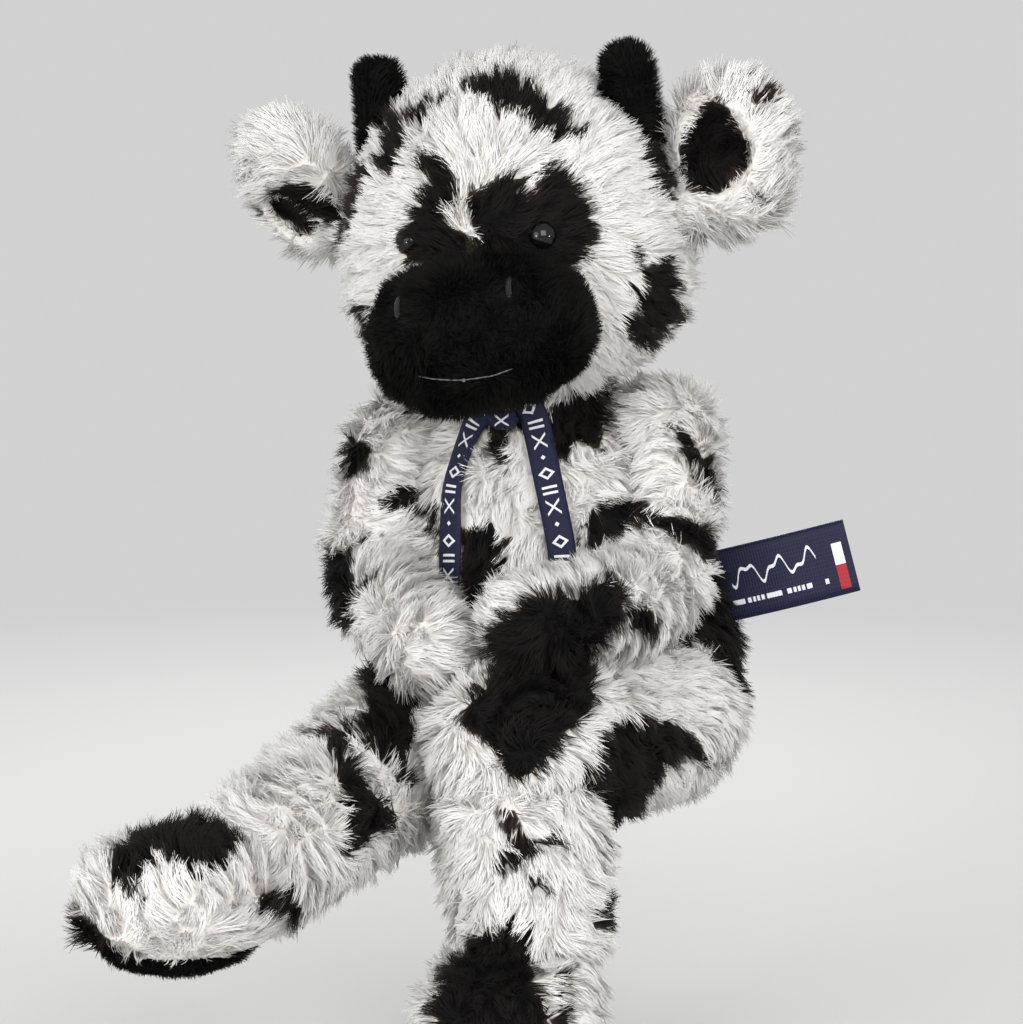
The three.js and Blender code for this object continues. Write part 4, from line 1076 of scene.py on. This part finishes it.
def washerMaterial():
    material, tree, shader = newMaterial("paleWasher", 0.5)
    place = shaderNode(tree, "ShaderNodeTexCoord")
    grain = setInputs(shaderNode(tree, "ShaderNodeTexNoise"), Scale=600, Detail=3)
    tree.links.new(place.outputs["Object"], grain.inputs["Vector"])
    tree.links.new(mixColors(tree, grain.outputs["Fac"], (0.70, 0.70, 0.68), (0.78, 0.78, 0.76)), shader.inputs["Base Color"])
    return material


washerPlastic = washerMaterial()
for side in ("left", "right"):
    nodes[f"eye_washer_{side}"].data.materials.clear()
    nodes[f"eye_washer_{side}"].data.materials.append(washerPlastic)
print("eyes set")

# Threads: the mouth, and the satin stitches of the nostrils
stitching = {"mouth": [(421, 373), (436, 376), (452, 378), (466, 378), (480, 376), (494, 373), (513, 366)],
             "mouthRadius": 0.22, "mouthAbove": 2.0, "knotRadius": 0.65, "nostrilThreads": 5, "nostrilRadius": 0.34,
             "nostrilLength": 9.5, "nostrilAbove": 2.6,
             "nostril_left": ((513, 291), -20), "nostril_right": ((402, 311), -16)}


def tubeMesh(form, points, radius, around=8, twist=0.0):
    points = np.array(points)
    tangents = np.gradient(points, axis=0)
    rings = []
    for row, (point, tangent) in enumerate(zip(points, tangents)):
        tangent = Vector(tangent).normalized()
        side = tangent.orthogonal() if row == 0 else (side - tangent * side.dot(tangent)).normalized()
        side = side.normalized()
        other = tangent.cross(side)
        fade = 0.35 if row in (0, len(points) - 1) else 1
        rings.append([form.verts.new(Vector(point) + (side * math.cos(2 * math.pi * k / around + twist * row)
                                                      + other * math.sin(2 * math.pi * k / around + twist * row))
                                     * radius * fade * (1 + 0.22 * math.cos(2 * (2 * math.pi * k / around)))) for k in range(around)])
    for first, second in zip(rings, rings[1:]):
        for k in range(around):
            form.faces.new((first[k], first[(k + 1) % around], second[(k + 1) % around], second[k]))
    form.faces.new(list(reversed(rings[0])))
    form.faces.new(rings[-1])


def threadMaterial(name, color, tip, roughness):
    material, tree, shader = newMaterial(name, roughness, sheen=0.05, specular=0.3)
    place = shaderNode(tree, "ShaderNodeTexCoord")
    strands = setInputs(shaderNode(tree, "ShaderNodeTexNoise"), Scale=1500, Detail=2)
    tree.links.new(place.outputs["Object"], strands.inputs["Vector"])
    tree.links.new(mixColors(tree, strands.outputs["Fac"], color, tip), shader.inputs["Base Color"])
    bump = setInputs(shaderNode(tree, "ShaderNodeBump"), Strength=0.4, Distance=0.0001)
    tree.links.new(strands.outputs["Fac"], bump.inputs["Height"])
    tree.links.new(bump.outputs[0], shader.inputs["Normal"])
    return material


greyThread = threadMaterial("greyThread", (0.06, 0.058, 0.06), (0.19, 0.185, 0.19), 0.55)
satinThread = threadMaterial("satinThread", (0.006, 0.006, 0.007), (0.016, 0.016, 0.018), 0.14)


def finishThread(name, form, material, node):
    bmesh.ops.recalc_face_normals(form, faces=form.faces)
    mesh = bpy.data.meshes.new(name)
    form.to_mesh(mesh)
    form.free()
    for polygon in mesh.polygons:
        polygon.use_smooth = True
    mesh.materials.append(material)
    piece = newPiece(name, mesh)
    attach(piece, "head")
    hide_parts(node)


def onMuzzle(across, down, above):
    place, normal, _, _ = muzzleTree.ray_cast(eyePoint, pixelRay(across, down))
    return place + normal * above * mm, normal


muzzleTree = cadTree("muzzle", "head")
form = bmesh.new()
mouthPath = smoothed(evenPath([onMuzzle(*corner, stitching["mouthAbove"])[0] for corner in stitching["mouth"]], 60), 5)
tubeMesh(form, mouthPath, stitching["mouthRadius"] * mm, twist=0.7)
knotPlace = onMuzzle(466, 378, stitching["mouthAbove"] + 0.2)[0]
bmesh.ops.create_uvsphere(form, u_segments=12, v_segments=8, radius=stitching["knotRadius"] * mm,
                          matrix=Matrix.Translation(knotPlace))
finishThread("mouth_stitch", form, greyThread, "mouth_thread")

stitchPlaces = [(tuple(point / mm), 2.2, 0.45) for point in mouthPath[::6]]
for node in ("nostril_left", "nostril_right"):
    (across, down), slant = stitching[node]
    place, normal = onMuzzle(across, down, stitching["nostrilAbove"])
    stitchPlaces.append((tuple(place / mm), 7.5, 0.35))
    long = (upward + right * math.tan(math.radians(slant))).normalized()
    long = (long - normal * long.dot(normal)).normalized()
    wide = long.cross(normal)
    form = bmesh.new()
    for thread in range(stitching["nostrilThreads"]):
        share = (thread + 0.5) / stitching["nostrilThreads"] * 2 - 1
        reach = stitching["nostrilLength"] / 2 * math.sqrt(1 - 0.75 * share * share)
        path = [place + wide * share * 1.0 * mm + long * reach * step / 8 * mm
                + normal * (0.9 * (1 - (step / 8) ** 2) * (1 - 0.5 * share * share) - 0.5) * mm for step in range(-8, 9)]
        tubeMesh(form, path, stitching["nostrilRadius"] * mm, 8)
    finishThread(f"{node}_stitch", form, satinThread, node)
print("face stitched")

# Fur pieces
furMaterial = spottedFurMaterial()
blackPlush = plushMaterial("blackPlush", (0.004, 0.004, 0.004), (0.013, 0.012, 0.011))
pressedChest = [(tuple(point / mm), 9.0, 0.3) for middles, _ in ribbonPaths.values() for point in middles[::4]]
besideRibbon = [(place, 14.0, 0.45) for place, _, _ in pressedChest]
roundEyes = [(tuple(place / mm), 9.0, 0.72) for place, _ in eyePlaces.values()]
down = (0, 0, -1)
pressedNape = [(tuple(point / mm), 9.0, 0.22) for point in backMiddles[10:-10:4]]
furPiece("torso_fur", ["torso"], {"toward": (0, 0.6, -1)}, furMaterial, longFur, hidden=("head",), pressed=pressedChest + pressedNape,
         tone="torso", seed=3, thin=("arm_left", "arm_right", "thigh_left", "thigh_right"))
print("torso furred")
furPiece("head_fur", ["head"], {"from": (-22, -100, 186), "toward": (0, 0, -0.35), "swirl": 0.55}, furMaterial, longFur,
         hidden=("muzzle", "horn_left", "horn_right", "ear_left", "ear_right"), pressed=roundEyes, tone="head", seed=5)
print("head furred")
limbs = {
    "arm_left": {"toward": (-1, 0.25, -0.4)}, "arm_right": {"toward": (1, 0.7, -0.3)},
    "thigh_left": {"toward": (0.2, 0.65, -1)}, "thigh_right": {"toward": (-1, 0.4, -0.3)},
    "shin_left": {"toward": (0.1, 0.5, -1)}, "shin_right": {"toward": (-0.8, 0.5, -0.5)},
    "foot_left": {"toward": (0.1, 0.5, -1)}, "foot_right": {"toward": (-0.2, 0.4, 1)},
    "tail": {"toward": down},
}
hiddenBy = {"shin_left": ("foot_left",), "shin_right": ("foot_right",), "foot_left": ("sole_left", "shin_left"),
            "foot_right": ("sole_right", "shin_right"), "tail": ("tail_tuft",)}
thinBy = {"thigh_left": ("torso", "shin_left"), "thigh_right": ("torso", "shin_right", "thigh_left"), "arm_left": ("torso",),
          "arm_right": ("torso",), "shin_left": ("thigh_left",), "shin_right": ("thigh_right",)}
for number, (node, rule) in enumerate(limbs.items()):
    furPiece(f"{node}_fur", [node], rule, furMaterial, longFur, hidden=hiddenBy.get(node, ()), tone=node, seed=11 + number,
             thin=thinBy.get(node, ()), pressed=besideRibbon + pressedNape if node.startswith("arm") else ())
earFur = dict(longFur, Length=7.6)
for side, out in (("left", 1), ("right", -1)):
    furPiece(f"ear_{side}_fur", [f"ear_{side}"], {"toward": (out, 0.25, 0.2)}, furMaterial, earFur,
             hidden=(f"ear_lining_{side}", "head"), tone=f"ear_{side}", seed=31 + out, voxel=2.0)
print("limbs and ears furred")
plushLengths = {"muzzle": 4.4, "horn_left": 4.0, "horn_right": 4.0, "sole_left": 2.6, "sole_right": 2.6,
                "ear_lining_left": 4.5, "ear_lining_right": 4.5, "tail_tuft": 9.0}
plushWays = {"muzzle": {"from": (-22, -60, 170), "toward": (0, 0, 0.1)}, "horn_left": {"toward": (0, 0, 1)},
             "horn_right": {"toward": (0, 0, 1)}, "tail_tuft": {"toward": down}}
for number, (node, length) in enumerate(plushLengths.items()):
    lining = node.startswith("ear_lining")
    furPiece(f"{node}_plush", [node], plushWays.get(node, {"toward": (0, 0, 0.3)}), furMaterial if lining else blackPlush,
             dict(shortPlush, Length=length), hidden=("head",) if node.startswith(("horn", "muzzle")) else (),
             pressed=stitchPlaces if node == "muzzle" else (), tone=node, seed=51 + number, voxel=1.4)
print("plush laid", sum(triangles.values()), triangles)

# Room: a pale floor and soft light
room = {"floor": (0.50, 0.50, 0.495), "floorCloud": (0.51, 0.51, 0.505), "background": (0.64, 0.64, 0.64), "dip": 9,
        "size": 30, "fade": (0.25, 0.95)}


def stageRoom():
    low = min(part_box(node)[0].z for node in nodes)
    bpy.ops.mesh.primitive_plane_add(size=room["size"], location=(0, 0, low - room["dip"] * mm))
    floor = bpy.context.object
    floor.name = "floor"
    material, tree, shader = newMaterial("paleFloor", 0.8)
    place = shaderNode(tree, "ShaderNodeTexCoord")
    cloud = setInputs(shaderNode(tree, "ShaderNodeTexNoise"), Scale=2)
    tree.links.new(place.outputs["Object"], cloud.inputs["Vector"])
    tree.links.new(mixColors(tree, cloud.outputs["Fac"], room["floor"], room["floorCloud"]), shader.inputs["Base Color"])
    distance = shaderNode(tree, "ShaderNodeVectorMath", operation="LENGTH")
    tree.links.new(place.outputs["Object"], distance.inputs[0])
    path = shaderNode(tree, "ShaderNodeLightPath")
    far = rangeNode(tree, distance.outputs["Value"], *room["fade"], smooth=True)
    plain = setInputs(shaderNode(tree, "ShaderNodeEmission"), Color=(*room["background"], 1))
    mix = shaderNode(tree, "ShaderNodeMixShader")
    tree.links.new(mathNode(tree, "MULTIPLY", far, path.outputs["Is Camera Ray"]), mix.inputs[0])
    tree.links.new(shader.outputs[0], mix.inputs[1])
    tree.links.new(plain.outputs[0], mix.inputs[2])
    tree.links.new(mix.outputs[0], tree.nodes["Material Output"].inputs["Surface"])
    floor.data.materials.append(material)
    world = bpy.data.worlds.new("studio")
    bpy.context.scene.world = world
    world.use_nodes = True
    tree = world.node_tree
    lit = tree.nodes["Background"]
    lit.inputs["Color"].default_value = (1, 1, 1, 1)
    lit.inputs["Strength"].default_value = 0.8
    seen = shaderNode(tree, "ShaderNodeBackground")
    seen.inputs["Color"].default_value = (*room["background"], 1)
    path = shaderNode(tree, "ShaderNodeLightPath")
    mix = shaderNode(tree, "ShaderNodeMixShader")
    tree.links.new(path.outputs["Is Camera Ray"], mix.inputs[0])
    tree.links.new(lit.outputs[0], mix.inputs[1])
    tree.links.new(seen.outputs[0], mix.inputs[2])
    tree.links.new(mix.outputs[0], tree.nodes["World Output"].inputs["Surface"])


lamps = {"key": {"place": (0.6, -1.45, 0.75), "size": 0.9, "power": 14},
         "fill": {"place": (-0.75, -1.5, 0.35), "size": 1.0, "power": 8.5},
         "rim": {"place": (-0.5, 1.5, 0.7), "size": 0.9, "power": 20},
         "glintRight": {"place": (1.26, -0.70, 0.17), "size": 0.17, "power": 2.8},
         "glintLeft": {"place": (-0.61, -1.35, 0.17), "size": 0.17, "power": 2.8}}


def stageLamps():
    for name, lamp in lamps.items():
        data = bpy.data.lights.new(name, "AREA")
        data.energy, data.size = lamp["power"], lamp["size"]
        light = bpy.data.objects.new(name, data)
        light.location = lamp["place"]
        light.rotation_euler = (Vector((-0.02, -0.04, 0.1)) - Vector(lamp["place"])).to_track_quat("-Z", "Y").to_euler()
        bpy.context.scene.collection.objects.link(light)


stageRoom()
stageLamps()
bpy.context.scene.view_settings.view_transform = "Standard"


print("room lit")
